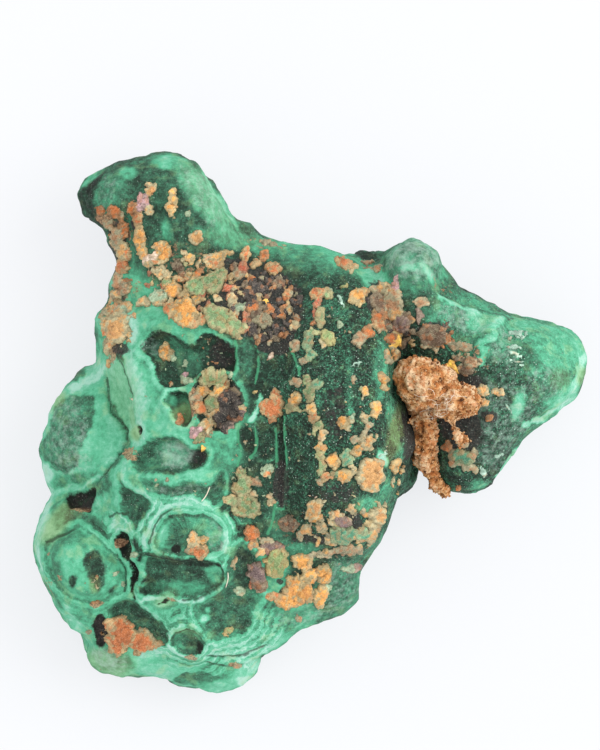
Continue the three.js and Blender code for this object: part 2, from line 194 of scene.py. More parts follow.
# Soft patches of tone, laid in this order: x, y, half-length, half-width, turn, tone, softness.
TONES = (
    (-16.5, -14, 14, 14.5, 0, 0.58, 0.12), (-15.5, 1.5, 8.8, 10.5, 20, 0.6, 0.12),
    (-24.3, -0.7, 6.0, 8.0, 0, 0.7, 0.1), (-24.5, -6.3, 3.6, 0.9, 8, 0.5, 0.4),
    (-28.2, -5.6, 0.7, 1.0, 0, 1.0, 0.4), (-15.5, 21.5, 8, 7, 0, 0.29, 0.2),
    (-22.9, 23.2, 1.6, 3.0, 0, 0.1, 0.3), (-15.0, 27.8, 1.8, 0.8, -10, 0.72, 0.4),
    (-19.4, 26.7, 1.1, 0.7, 0, 0.64, 0.4), (-23.8, 26.2, 1.5, 0.6, 35, 0.5, 0.4),
    (-21.2, 24.3, 1.5, 2.3, -15, 0.43, 0.3), (-11.7, 24.1, 5.2, 1.2, -56, 0.54, 0.25),
    (-9.8, 23.8, 3.4, 0.4, -58, 0.7, 0.4), (-12.0, 20.6, 1.8, 0.8, -10, 0.2, 0.4),
    (-15.2, 20.4, 0.6, 1.4, 10, 0.52, 0.4), (-19.0, 19.0, 0.6, 1.4, 0, 0.34, 0.4),
    (-20.0, 13.0, 4.0, 3.5, 20, 0.6, 0.3), (-15.6, 10.6, 4.4, 1.4, -10, 0.62, 0.25),
    (-12.6, 9.1, 1.9, 0.8, -30, 0.62, 0.3), (-18.8, 10.2, 0.9, 1.9, 0, 0.98, 0.35),
    (-16.6, 9.9, 1.2, 0.7, 0, 0.8, 0.5), (-16.6, 11.8, 1.8, 0.8, 10, 0.7, 0.5),
    (-9.2, 19.7, 3.4, 0.9, -15, 0.5, 0.5), (-3.4, 19.0, 5.4, 1.2, -6, 0.5, 0.4),
    (0.6, 17.2, 5.4, 1.2, -6, 0.44, 0.5), (-6.8, 21.3, 1.2, 0.5, 0, 0.35, 0.3),
    (-14.9, 0.4, 2.0, 1.8, 0, 0.72, 0.4), (-12.4, -5.8, 4.0, 0.7, 4, 0.74, 0.3),
    (-9.6, -3.4, 1.4, 2.2, 20, 0.54, 0.3), (-22.0, -9.4, 1.4, 2.2, 0, 0.63, 0.3),
    (-24.4, -10.8, 3.0, 1.3, -30, 0.34, 0.3), (-27.2, -10.4, 2.0, 0.9, 55, 0.56, 0.3),
    (-28.4, -14.8, 1.1, 4.8, 0, 0.9, 0.4), (-27.0, -19.6, 2.4, 0.8, -50, 0.66, 0.4),
    (-28.6, -9.4, 0.7, 3.0, -10, 0.88, 0.4), (-19.7, -11.0, 1.8, 1.0, 0, 0.88, 0.3),
    (-15.2, -20.0, 2.4, 1.1, 0, 0.58, 0.3), (-27.6, -18.8, 0.5, 2.4, 42, 0.42, 0.4),
    (-24.8, -21.2, 2.2, 1.6, -30, 0.6, 0.3), (-16.6, -25.0, 2.8, 1.5, 0, 0.82, 0.25),
    (-8.5, -24.0, 6.5, 2.2, 14, 0.84, 0.2), (-4.2, -20.8, 1.9, 3.4, -28, 0.7, 0.3),
    (-12.8, -26.0, 5.0, 0.9, 0, 0.66, 0.4), (-0.9, -20.6, 3.6, 1.7, 14, 0.56, 0.3),
    (2.6, -21.2, 2.6, 0.9, 20, 0.26, 0.5), (-4.2, -19.6, 0.8, 1.2, 0, 0.4, 0.4),
    (3.5, -18.2, 3.4, 3.5, 0, 0.35, 0.25), (-10.0, -27.8, 5.2, 1.5, 4, 0.66, 0.2),
    (-15.0, -27.2, 3.6, 0.9, -8, 0.8, 0.4), (-6.4, -26.6, 1.6, 0.8, 30, 0.84, 0.4),
    (-7.0, -28.3, 0.8, 0.7, 0, 1.0, 0.4), (-22.0, -26.2, 2.8, 2.2, 0, 0.55, 0.3),
    (-4.8, -10.4, 1.0, 2.0, 25, 0.4, 0.4), (-7.2, -10.0, 3.4, 2.8, -25, 0.26, 0.4),
    (-5.8, -6.4, 3.0, 2.4, 0, 0.2, 0.4), (-6.0, -12.4, 3.0, 1.2, 0, 0.26, 0.4),
    (-7.2, -10.2, 1.2, 0.7, 0, 0.42, 0.4), (-1.2, -13.4, 2.6, 0.8, 0, 0.48, 0.4),
    (-3.2, -15.8, 1.0, 1.8, 0, 0.62, 0.4), (-6.8, 6.6, 0.9, 2.2, 0, 0.36, 0.3),
    (7.3, 5.2, 0.8, 3.2, -4, 0.47, 0.4), (4.3, 3.2, 0.35, 4.6, 0, 0.4, 0.5),
    (6.1, -8.7, 1.6, 0.9, 0, 0.48, 0.5), (8.2, -7.0, 0.7, 1.6, 0, 0.4, 0.5),
    (9.3, -0.8, 0.9, 4.0, -14, 0.16, 0.3), (7.7, -3.7, 0.4, 0.9, 30, 0.95, 0.5),
    # The black patch at 10.6, -1.4 is painted shade in the gap beside the filling's column.
    (10.6, -1.4, 1.0, 3.6, -8, 0.0, 0.3), (-20.2, 7.2, 1.4, 0.6, -20, 0.3, 0.5),
    (-22.3, -7.0, 1.6, 0.8, 20, 0.42, 0.4), (13.4, 11.8, 1.6, 1.4, 0, 0.36, 0.5),
    (3.0, 12.4, 1.5, 0.8, -45, 0.34, 0.5), (7.5, -13.4, 0.9, 1.8, -30, 0.42, 0.4),
    (4.4, 17.3, 4.2, 1.2, -22, 0.5, 0.4), (7.6, 14.9, 2.2, 1.3, -38, 0.8, 0.4),
    # The near-black patch at 6.2, 18.0 is a painted shadow in the recess between the ridge and the arm.
    (6.2, 18.0, 1.3, 0.4, -8, 0.02, 0.4), (11.8, 17.0, 3.8, 3.6, 0, 0.42, 0.25),
    (16.6, 10.8, 4.6, 3.2, -20, 0.42, 0.25), (23.5, 5.5, 7.0, 7.5, 0, 0.42, 0.2),
    (24.5, 9.4, 3.6, 2.0, -15, 0.54, 0.4), (27.0, 7.6, 2.7, 2.6, 0, 0.58, 0.4),
    (27.2, 2.6, 1.8, 1.4, 40, 0.72, 0.5), (18.6, 10.6, 1.8, 1.1, -30, 0.68, 0.4),
    (20.4, 1.0, 3.8, 5.0, 0, 0.25, 0.3), (18.4, -3.8, 4.0, 3.8, 0, 0.2, 0.3),
    (19.0, 5.6, 1.8, 1.0, 0, 0.2, 0.4), (16.2, 0.2, 1.8, 2.8, 0, 0.05, 0.4),
    (17.2, 4.2, 1.6, 1.2, 0, 0.1, 0.4), (22.3, 1.8, 0.6, 1.5, -6, 0.78, 0.6),
    (23.6, 2.1, 0.4, 1.4, 0, 0.34, 0.5), (18.5, -7.0, 1.1, 0.8, 0, 0.5, 0.5),
    (12.9, 15.7, 1.0, 0.4, -35, 0.76, 0.7), (10.9, 16.1, 0.7, 0.3, 0, 0.7, 0.7),
)

# Tones inside the hollows, laid on their floors: x, y, half-length, half-width, turn, tone, softness.
FLOOR_TONES = (
    (-9.3, 7.2, 1.7, 1.7, 0, 0.1, 0.25), (-12.4, 5.9, 0.9, 1.2, 30, 0.38, 0.4),
    (-16.4, 7.6, 0.8, 0.9, 0, 0.36, 0.4), (-13.5, 1.2, 0.9, 1.4, -15, 0.52, 0.4),
    (-14.7, 2.3, 0.5, 0.8, 0, 0.6, 0.5), (-13.6, 7.5, 1.6, 0.8, -30, 0.42, 0.5),
    (-14.3, -3.4, 1.9, 1.4, 0, 0.52, 0.8), (-11.7, -3.8, 1.2, 1.1, 20, 0.1, 0.3),
    (-16.8, -4.4, 1.2, 0.8, 0, 0.42, 0.5), (-24.8, -15.0, 1.3, 1.7, 20, 0.68, 0.4),
    (-20.4, -16.4, 1.0, 1.3, 15, 0.6, 0.4), (-24.4, -18.2, 2.0, 0.8, -20, 0.6, 0.4),
    (-26.8, -15.8, 0.8, 1.9, 0, 0.46, 0.4), (-25.8, -12.8, 2.0, 0.6, 20, 0.5, 0.4),
    (-10.1, -15.4, 0.95, 1.5, 15, 0.62, 0.3), (-12.4, -17.9, 1.8, 0.45, 8, 0.52, 0.3),
    (-15.8, -17.8, 0.9, 0.5, 10, 0.52, 0.4), (-13.6, -17.4, 3.4, 0.6, 0, 0.5, 0.5),
    (-11.1, -20.8, 0.45, 0.3, 0, 0.95, 0.5), (-10.8, -20.0, 0.35, 0.3, 0, 0.7, 0.5),
    (-6.6, -21.8, 0.5, 1.5, -40, 0.08, 0.4), (-6.8, -15.5, 1.0, 2.4, 0, 0.22, 0.4),
    (-12.7, -23.3, 0.9, 0.8, 0, 0.33, 0.5), (-11.6, -23.8, 0.35, 0.6, 20, 0.04, 0.4),
    (-13.2, -11.8, 1.6, 1.1, 0, 0.36, 0.5), (-9.9, -11.6, 0.8, 1.6, 10, 0.54, 0.5),
    # The dark tone at -11.4, -14.5 is painted shade along the top of the bean's floor, below the slope.
    (-15.2, -11.9, 0.5, 1.4, -10, 0.7, 0.5), (-11.4, -14.5, 3.0, 0.5, 0, 0.14, 0.4),
    (-13.7, -13.05, 0.5, 0.32, 10, 0.0, 0.2),
)

# Strokes of tone along a line: points, half-width, tone.
STROKES = (
    (((-16.9, -13.9), (-17.0, -12.4), (-16.6, -10.7), (-15.5, -9.3), (-14.0, -8.6), (-12.2, -8.4),
      (-10.8, -8.6)), 0.42, 0.98),
    (((-10.8, -8.6), (-8.9, -9.7), (-8.1, -11.0)), 0.3, 0.78),
    (((-17.9, -12.8), (-17.7, -10.8), (-16.4, -8.9), (-14.4, -7.9), (-12.0, -7.6)), 0.2, 0.8),
    (((-16.3, -12.6), (-16.1, -11.0), (-15.1, -9.7)), 0.12, 0.85),
    (((-25.5, 3.4), (-24.4, 4.2), (-23.0, 4.8), (-21.8, 5.8)), 0.4, 0.9),
    (((-17.0, -0.4), (-16.9, -1.3), (-17.3, -2.1), (-18.3, -2.5), (-18.8, -2.3)), 0.25, 0.88),
    (((-20.3, -4.7), (-20.3, -7.0), (-20.4, -8.6), (-20.9, -9.8)), 0.28, 0.72),
    (((-19.6, -4.4), (-19.3, -6.2), (-18.6, -7.0), (-17.4, -7.4), (-16.5, -8.2), (-15.5, -8.6)),
      0.26, 0.84),
    (((-18.9, 7.6), (-17.5, 6.9), (-16.7, 6.0), (-16.5, 4.6), (-15.8, 3.5)), 0.22, 0.8),
    (((-27.5, -7.7), (-26.0, -7.1), (-24.2, -7.1), (-23.0, -6.1), (-22.2, -5.8)), 0.22, 0.84),
    (((-20.9, 1.6), (-19.8, -0.6), (-19.4, -2.4), (-20.3, -4.1), (-21.8, -5.6)), 0.4, 0.42),
    (((-17.3, -14.4), (-17.0, -15.6), (-17.1, -16.6), (-17.8, -17.5)), 0.2, 0.74),
    (((-18.3, -18.2), (-18.0, -19.0)), 0.25, 0.98),
    (((-18.0, -19.4), (-17.2, -20.0), (-16.2, -21.2)), 0.25, 0.88),
    (((-15.0, -22.5), (-14.8, -23.7), (-13.6, -24.8)), 0.2, 1.0),
    (((-12.7, -20.6), (-12.0, -21.6), (-10.9, -22.7)), 0.18, 0.74),
    (((-17.4, -18.7), (-15.4, -18.2), (-13.8, -18.8), (-12.5, -18.75), (-11.2, -18.35)), 0.2, 0.96),
    (((-8.6, -25.8), (-6.5, -25.6), (-4.6, -24.8)), 0.25, 0.86),
    (((-8.9, -11.6), (-8.7, -12.8)), 0.3, 0.84),
    (((-5.1, 2.7), (-5.6, 1.2), (-6.1, 0.2)), 0.22, 0.95),
    (((-8.2, 5.2), (-7.2, 4.4), (-6.8, 3.0), (-6.8, 1.4), (-7.5, -0.4), (-8.8, -1.2), (-10.3, -1.3)),
      0.28, 0.6),
    (((-10.4, -2.2), (-9.0, -2.6), (-8.2, -4.0)), 0.3, 0.56),
    (((8.4, 1.6), (8.9, -0.6), (9.7, -3.6)), 0.4, 0.4),
    (((14.2, 13.5), (16.5, 12.2), (17.8, 11.6)), 0.35, 0.85),
    (((20.6, 10.8), (19.4, 9.7), (19.6, 8.8), (18.3, 8.2), (18.8, 7.2), (18.2, 6.3)), 0.36, 0.78),
    (((28.9, 2.6), (26.6, 0.0), (24.0, -2.0), (22.0, -4.2), (20.8, -6.2)), 0.36, 0.88),
    (((29.6, 7.4), (28.6, 4.9), (28.2, 3.2)), 0.36, 0.86),
    (((23.0, -0.3), (25.0, 0.2), (27.0, 1.6)), 0.3, 0.86),
    (((-26.2, -19.8), (-25.5, -21.2), (-24.6, -22.2)), 0.3, 0.8),
    # The next stroke is the slope between the ring and the bean: dark green with painted shade in it.
    (((-18.4, -12.6), (-17.6, -13.6), (-16.2, -13.9), (-13.4, -14.1), (-11.0, -13.9), (-9.6, -14.4)),
      0.34, 0.22),
    (((-7.4, 9.0), (-7.2, 6.6), (-7.4, 4.6)), 0.35, 0.3),
    (((-12.9, -21.3), (-11.8, -21.8), (-11.0, -22.8)), 0.2, 0.4),
    (((-8.5, -15.0), (-8.7, -17.0), (-9.8, -18.3)), 0.3, 0.36),
)

# Zones where bands follow the hollows' edges, and zones with coarser grain and more painted glints:
# x, y, half-length, half-width, turn, strength.
BANDED = (
    (-12.4, -11.6, 6.2, 5.4, 0, 1.0), (-20.0, -11.4, 2.6, 2.2, 0, 0.8), (-9.5, -23.0, 7.5, 4.4, 0, 1.1),
    (-15.5, 1.5, 8.8, 10.5, 20, 0.15), (-23.6, -16.0, 6.0, 6.0, 0, 0.3),
)
SPARKLING = ((4.0, 0.5, 8.0, 15.0, 0, 1.0), (20.0, 3.0, 10.0, 13.0, 0, 0.8))

# Fans of fine fibres: centre, reach, strength.
FIBRE_FANS = (((-12.6, -12.3, 12.0), 3.2, 0.22), ((-15.8, -21.6, 12.0), 5.6, 0.16))

# Thin bright green ridges that stand on the dark velvet of the terraces: points, height.
BRIGHT_LINES = (
    (((-7.7, 8.4), (-7.7, 6.6), (-7.8, 5.2)), 0.16),
    (((-5.9, 8.9), (-5.3, 7.4), (-5.3, 6.0), (-5.7, 4.2)), 0.2),
    (((-1.9, 8.0), (-1.2, 6.3), (-1.0, 5.0)), 0.16),
    (((-7.5, -0.3), (-7.5, -1.6), (-7.1, -3.0), (-7.6, -4.6)), 0.16),
    (((-5.8, -0.2), (-5.5, -1.6), (-5.7, -3.2), (-6.4, -3.9)), 0.16),
    (((-3.5, -0.6), (-3.3, -2.4), (-3.4, -4.6)), 0.16),
    (((-2.5, 0.6), (-2.35, -3.4), (-2.3, -6.4), (-2.6, -9.1), (-3.6, -9.0)), 0.24),
    (((-3.6, -8.6), (-3.8, -10.2), (-4.4, -11.6)), 0.2),
)

# Fine dark cracks and seams: points, depth.
CRACKS = (
    (((-10.6, -14.2), (-9.5, -14.6), (-9.1, -15.6), (-9.3, -16.6), (-9.9, -17.3), (-10.9, -18.0),
      (-12.2, -18.5), (-13.4, -18.6)), 0.35),
    (((-21.9, 4.8), (-21.6, 3.0), (-21.1, 1.2), (-20.4, 0.2), (-19.8, -0.7), (-19.7, -2.0),
      (-20.2, -3.2), (-21.2, -4.6), (-22.6, -6.2)), 0.5),
    (((-20.4, 6.6), (-19.7, 5.2), (-19.1, 3.8), (-18.7, 2.6)), 0.2),
    (((-10.8, -25.0), (-9.0, -25.4), (-7.0, -25.3), (-4.5, -24.2)), 0.35),
    (((-11.0, -26.0), (-8.6, -26.6), (-6.6, -26.2)), 0.25),
    (((-25.9, -20.9), (-25.2, -21.6), (-24.4, -22.3)), 0.3),
    (((-28.3, -12.9), (-27.4, -12.5), (-25.9, -11.9), (-25.0, -11.4)), 0.2),
    (((-20.6, -14.0), (-19.5, -15.6), (-19.3, -17.0), (-19.8, -18.1)), 0.15),
    (((-16.5, -12.8), (-16.3, -11.2), (-15.4, -9.8), (-14.2, -9.1)), 0.12),
    (((-21.3, -10.2), (-20.6, -9.8), (-19.4, -9.9)), 0.15),
    (((-15.1, -22.2), (-15.1, -23.0)), 0.2),
)

# Olive tint, rust stain, soot and painted shade, and grey frost: x, y, half-length, half-width, turn,
# strength.
OLIVE = (
    (-19.8, 3.2, 1.8, 4.2, 10, 0.3), (-13.4, 1.0, 0.9, 1.3, 0, 0.9), (9.2, -0.9, 0.8, 3.4, -15, 1.0),
    (-22.0, -26.4, 3.0, 1.9, 0, 0.6), (-26.9, -10.8, 2.8, 1.1, 50, 0.8), (29.2, 4.9, 0.7, 1.0, 0, 0.7),
    (-11.0, 24.0, 4.6, 1.4, -55, 0.25), (-27.0, 2.4, 0.6, 0.9, -30, 0.7),
    (-18.3, -1.2, 0.9, 0.8, 0, 0.8), (-18.8, 0.6, 0.6, 1.4, 0, 0.5), (-13.0, -22.0, 1.5, 0.5, 0, 0.5),
    (-15.2, -18.7, 1.3, 0.9, 40, 0.5), (-22.9, -17.2, 0.5, 0.9, 0, 0.8), (26.5, 4.6, 1.2, 1.0, 0, 0.35),
    (-7.0, 20.0, 4.0, 1.2, 0, 0.2),
)
RUST = (
    (-10.0, 14.2, 8.0, 4.0, -15, 0.4), (-20.4, 18.7, 1.3, 3.8, 0, 0.5),
    (-20.9, 10.2, 1.9, 3.4, 0, 0.62), (23.4, 11.7, 2.2, 0.5, -8, 0.8),
    (-21.6, 21.6, 1.3, 0.8, -30, 0.85), (-8.0, -26.3, 0.7, 0.4, 0, 0.8),
    (-11.9, 17.3, 6.5, 1.8, -10, 0.4), (12.5, 2.5, 4.6, 4.4, 0, 0.5), (-18.6, 22.2, 0.9, 1.6, 0, 0.7),
    (-20.4, -13.0, 0.5, 0.6, 0, 0.9), (2.0, -12.0, 7.0, 3.0, -10, 0.3), (17.3, 6.6, 2.2, 1.8, 0, 0.4),
    (-19.2, -13.8, 0.7, 1.0, 0, 0.4), (-11.4, -1.0, 1.4, 0.9, 0, 0.7), (-19.1, -3.4, 0.9, 0.8, 0, 0.8),
    (-22.7, -19.5, 0.7, 0.4, 10, 0.9), (-26.6, -16.8, 0.5, 0.6, 0, 0.6),
    (-28.0, -17.4, 0.5, 1.4, 30, 0.5), (-24.6, -9.4, 1.4, 0.5, 0, 0.7),
    (-12.6, -24.8, 0.8, 0.4, 0, 0.8), (15.0, 14.3, 2.6, 1.0, -38, 0.34),
    (-19.9, 14.0, 2.2, 1.4, 30, 0.5), (-18.2, -11.6, 0.5, 0.8, 0, 0.3), (-4.6, 19.2, 3.4, 0.6, -8, 0.4),
    (-10.3, 8.6, 1.6, 0.4, -20, 0.4), (-14.6, -18.6, 0.6, 0.3, -20, 0.8),
    (-4.0, -18.6, 1.0, 0.5, 0, 0.5), (6.4, 16.9, 1.8, 0.6, -25, 0.7), (-21.3, 7.8, 0.8, 1.6, 0, 0.9),
    (-12.2, 2.0, 0.6, 1.8, 0, 0.9),
)
# Partly black crust, partly painted shade, such as in the gaps beside the filling's column.
SOOT_AND_SHADE = (
    (-20.6, 18.6, 1.1, 3.4, 0, 0.62), (-20.8, 13.2, 1.2, 1.8, 0, 0.5), (-7.6, 16.4, 2.8, 1.2, -12, 0.7),
    (-8.4, 12.9, 2.0, 1.6, 0, 0.5), (-20.2, 7.9, 1.2, 0.7, -20, 0.8), (-18.6, 20.6, 0.6, 1.8, 0, 0.5),
    (-5.0, 12.6, 4.4, 4.0, -20, 1.0), (-3.8, 9.0, 2.2, 1.8, 0, 1.0), (-9.3, 7.4, 1.6, 1.5, 0, 0.6),
    (-8.4, 1.9, 1.6, 2.2, 0, 1.0), (21.4, 11.3, 0.8, 0.5, 0, 0.45), (8.0, 12.6, 1.8, 2.6, 25, 0.8),
    (9.8, 9.6, 1.4, 2.2, 0, 0.6), (-24.4, -8.6, 1.5, 0.9, -16, 0.5), (19.3, 0.6, 0.9, 0.8, 0, 0.8),
    (-2.9, -6.4, 0.9, 2.6, 0, 0.8), (-22.5, -22.6, 0.7, 1.6, 0, 0.6), (-11.7, -3.8, 1.0, 0.9, 0, 0.5),
    (2.8, -7.4, 2.6, 1.4, 0, 0.5), (2.8, 1.2, 1.4, 3.6, 0, 0.45), (4.6, -10.9, 1.0, 1.6, 0, 0.7),
    (13.4, 9.2, 2.0, 1.6, 0, 0.6), (16.6, 5.6, 1.2, 0.8, 0, 0.8), (16.2, -0.6, 2.2, 3.2, 30, 0.8),
    (17.4, 3.8, 1.4, 1.4, 0, 0.9), (10.6, -0.8, 0.9, 3.2, -8, 1.0), (-9.6, 17.0, 1.2, 0.7, 0, 0.4),
    (-3.0, -17.0, 0.35, 0.3, 0, 0.9), (-2.9, -18.1, 0.4, 0.3, 0, 0.9), (-19.0, 21.0, 0.5, 0.7, 0, 0.8),
    (-11.2, 12.4, 0.9, 0.7, 0, 0.6), (0.6, -12.4, 2.6, 0.7, 0, 0.6), (-23.9, 20.8, 1.2, 1.4, 0, 0.3),
    (6.8, 12.4, 0.7, 0.6, 0, 0.9),
)
FROST = (
    (11.6, 17.6, 3.4, 2.8, 0, 0.55), (20.6, 7.8, 1.6, 3.0, 20, 0.4), (16.4, 11.0, 3.4, 1.4, -28, 0.45),
    (-11.4, 24.0, 4.6, 1.3, -56, 0.4), (-25.9, -1.6, 2.8, 5.0, 10, 0.4),
    (-14.3, -3.4, 2.2, 1.5, 0, 0.6), (-9.9, -11.6, 1.0, 1.8, 10, 0.35), (20.5, -0.5, 4.2, 6.0, 0, 0.4),
    (-22.2, -26.2, 2.6, 2.0, 0, 0.6), (3.3, -18.2, 3.6, 3.6, 0, 0.35), (-18.0, 3.0, 1.2, 4.6, 10, 0.35),
    (-0.6, -20.8, 4.0, 1.4, 10, 0.35), (-8.9, -12.6, 0.6, 0.8, 0, 0.5),
    (-21.3, 24.4, 1.3, 2.0, -15, 0.3), (25.0, 4.0, 2.0, 2.6, 0, 0.35), (-7.0, -28.3, 0.8, 0.6, 0, 0.8),
    (-17.0, 8.2, 1.2, 0.9, 0, 0.4), (4.0, 17.0, 1.3, 0.7, -30, 0.5), (-22.2, -9.2, 1.2, 1.8, 0, 0.3),
    (-13.4, -7.0, 4.0, 0.6, 0, 0.4),
)

# Low mounds that shape the stone between its lobes: x, y, half-length, half-width, turn, height.
MOUNDS = (
    (-12.4, -12.2, 5.4, 4.8, 0, 1.0), (-13.6, -15.8, 5.6, 3.2, 8, 0.7),
    (-23.8, -15.4, 3.4, 3.0, -28, 0.8), (-20.0, -16.8, 1.0, 1.8, 10, 0.3),
    (-12.9, -23.0, 3.0, 2.6, 0, 0.9), (-15.6, -5.8, 6.0, 1.2, 0, 0.5), (-15.4, 0.6, 2.4, 3.0, 0, 0.6),
    (-18.0, 3.4, 1.2, 4.4, 12, 0.5), (-13.6, 10.0, 6.0, 1.4, -10, 0.9),
    (-21.2, 24.3, 1.8, 2.6, -15, 0.7), (-16.0, 21.0, 1.0, 3.6, 10, -0.6),
    (-10.8, 24.2, 4.8, 1.6, -55, 0.6), (-19.4, 21.0, 0.8, 2.2, 0, -0.7), (-6.8, 21.2, 1.2, 0.5, 0, 0.8),
    (11.4, 17.6, 3.0, 2.2, 0, 1.0), (15.5, 14.4, 3.0, 1.6, -40, -0.8), (19.2, 8.8, 1.0, 3.6, -28, 0.8),
    (16.6, 12.2, 2.4, 0.7, -28, 0.5), (25.0, 5.6, 4.6, 3.4, -10, 0.5), (16.3, 0.3, 2.6, 2.0, 0, -0.6),
    (-8.3, -20.0, 4.8, 4.2, 35, 0.4), (2.6, 4.0, 1.2, 12.0, 0, -0.4), (7.2, 4.6, 0.9, 4.0, -4, 0.5),
)

# Places where the outline is pushed out or drawn in: x, y, reach, push.
KNOBS = (
    (-22.9, 10.9, 1.9, 1.7), (-24.4, 5.9, 1.4, 0.7), (-24.0, 22.2, 0.9, 0.5), (-22.2, 20.4, 0.9, -0.6),
    (-21.4, 17.2, 1.2, -0.4), (-22.0, 14.6, 0.9, 0.6), (-17.4, 29.2, 1.6, -0.3), (-6.5, 21.4, 0.9, 0.6),
    (-28.4, 2.4, 3.0, -0.55), (15.6, 16.6, 3.0, -0.9), (20.9, -5.6, 2.6, -0.7), (24.0, -1.6, 2.2, -0.5),
    (27.4, 1.2, 2.0, -0.4), (-28.4, -17.0, 2.6, -0.45), (29.8, 7.2, 2.2, 0.3), (-11.6, -29.0, 3.2, 0.3),
    (3.0, -21.4, 2.6, 0.4), (10.8, -2.0, 1.6, 0.9), (2.8, 19.2, 3.0, 0.4), (-23.4, -26.4, 1.6, 0.3),
    (6.8, 19.4, 1.4, -0.9), (6.2, -17.0, 1.8, -0.6), (8.3, -12.8, 1.4, 0.6), (10.4, -9.0, 1.3, -0.6),
    (-29.3, -3.2, 1.2, 0.5), (-25.4, -22.0, 1.6, 0.3),
)

# Places where the brown filling is drawn in: x, y, half-length, half-width, turn, how far.
PINCHES = (
    (17.4, 3.8, 1.5, 1.3, 0, 0.7), (16.2, 0.4, 1.4, 1.1, 20, 0.6), (16.0, -1.2, 2.6, 1.3, -50, 0.45),
    (11.2, -0.2, 0.9, 1.4, 0, 0.5), (13.6, 6.8, 2.0, 0.9, -25, 0.7), (9.6, 1.6, 1.0, 1.4, 0, 0.4),
    (14.4, -2.2, 0.8, 2.8, 0, 0.6),
)

# ---- Crust ----

# Pigments as (middle, edge) in linear colour, and plates as pigment, x, y, half-length, half-width, in
# millimetres, and the turn in degrees if there is one.
PIGMENTS = {
    "amber": ((0.60, 0.28, 0.075), (0.44, 0.34, 0.17)),
    "sand": ((0.51, 0.275, 0.105), (0.42, 0.365, 0.21)),
    "salmon": ((0.46, 0.15, 0.055), (0.43, 0.31, 0.155)),
    "tan": ((0.34, 0.19, 0.10), (0.33, 0.30, 0.185)),
    "yellow": ((1.0, 0.68, 0.12), (1.0, 0.60, 0.14)),
    "rust": ((0.40, 0.12, 0.035), (0.32, 0.17, 0.08)),
    "red": ((0.43, 0.10, 0.05), (0.38, 0.19, 0.11)),
    "pale": ((0.31, 0.41, 0.27), (0.30, 0.38, 0.24)),
    "white": ((0.82, 0.66, 0.52), (0.64, 0.48, 0.34)),
    "pink": ((0.50, 0.30, 0.31), (0.40, 0.27, 0.25)),
    "mint": ((0.50, 0.68, 0.56), (0.36, 0.54, 0.42)),
    "olive": ((0.165, 0.26, 0.12), (0.36, 0.33, 0.17)),
    "teal": ((0.09, 0.27, 0.16), (0.27, 0.33, 0.18)),
    "fern": ((0.20, 0.27, 0.11), (0.36, 0.32, 0.14)),
    "brown": ((0.105, 0.066, 0.042), (0.21, 0.165, 0.105)),
    "purple": ((0.17, 0.115, 0.11), (0.29, 0.21, 0.16)),
    "black": ((0.034, 0.032, 0.030), (0.085, 0.070, 0.060)),
}
# The record's three crust finishes, each with its pigments.
FINISHES = {
    "crust_amber": ("amber", "sand", "salmon", "tan", "yellow", "rust", "red", "pale", "white", "pink"),
    "crust_olive": ("olive", "teal", "fern", "mint"),
    "crust_dark": ("brown", "purple", "black"),
}
SLOT_OF = {pigment: slot for slot, pigments in FINISHES.items() for pigment in pigments}
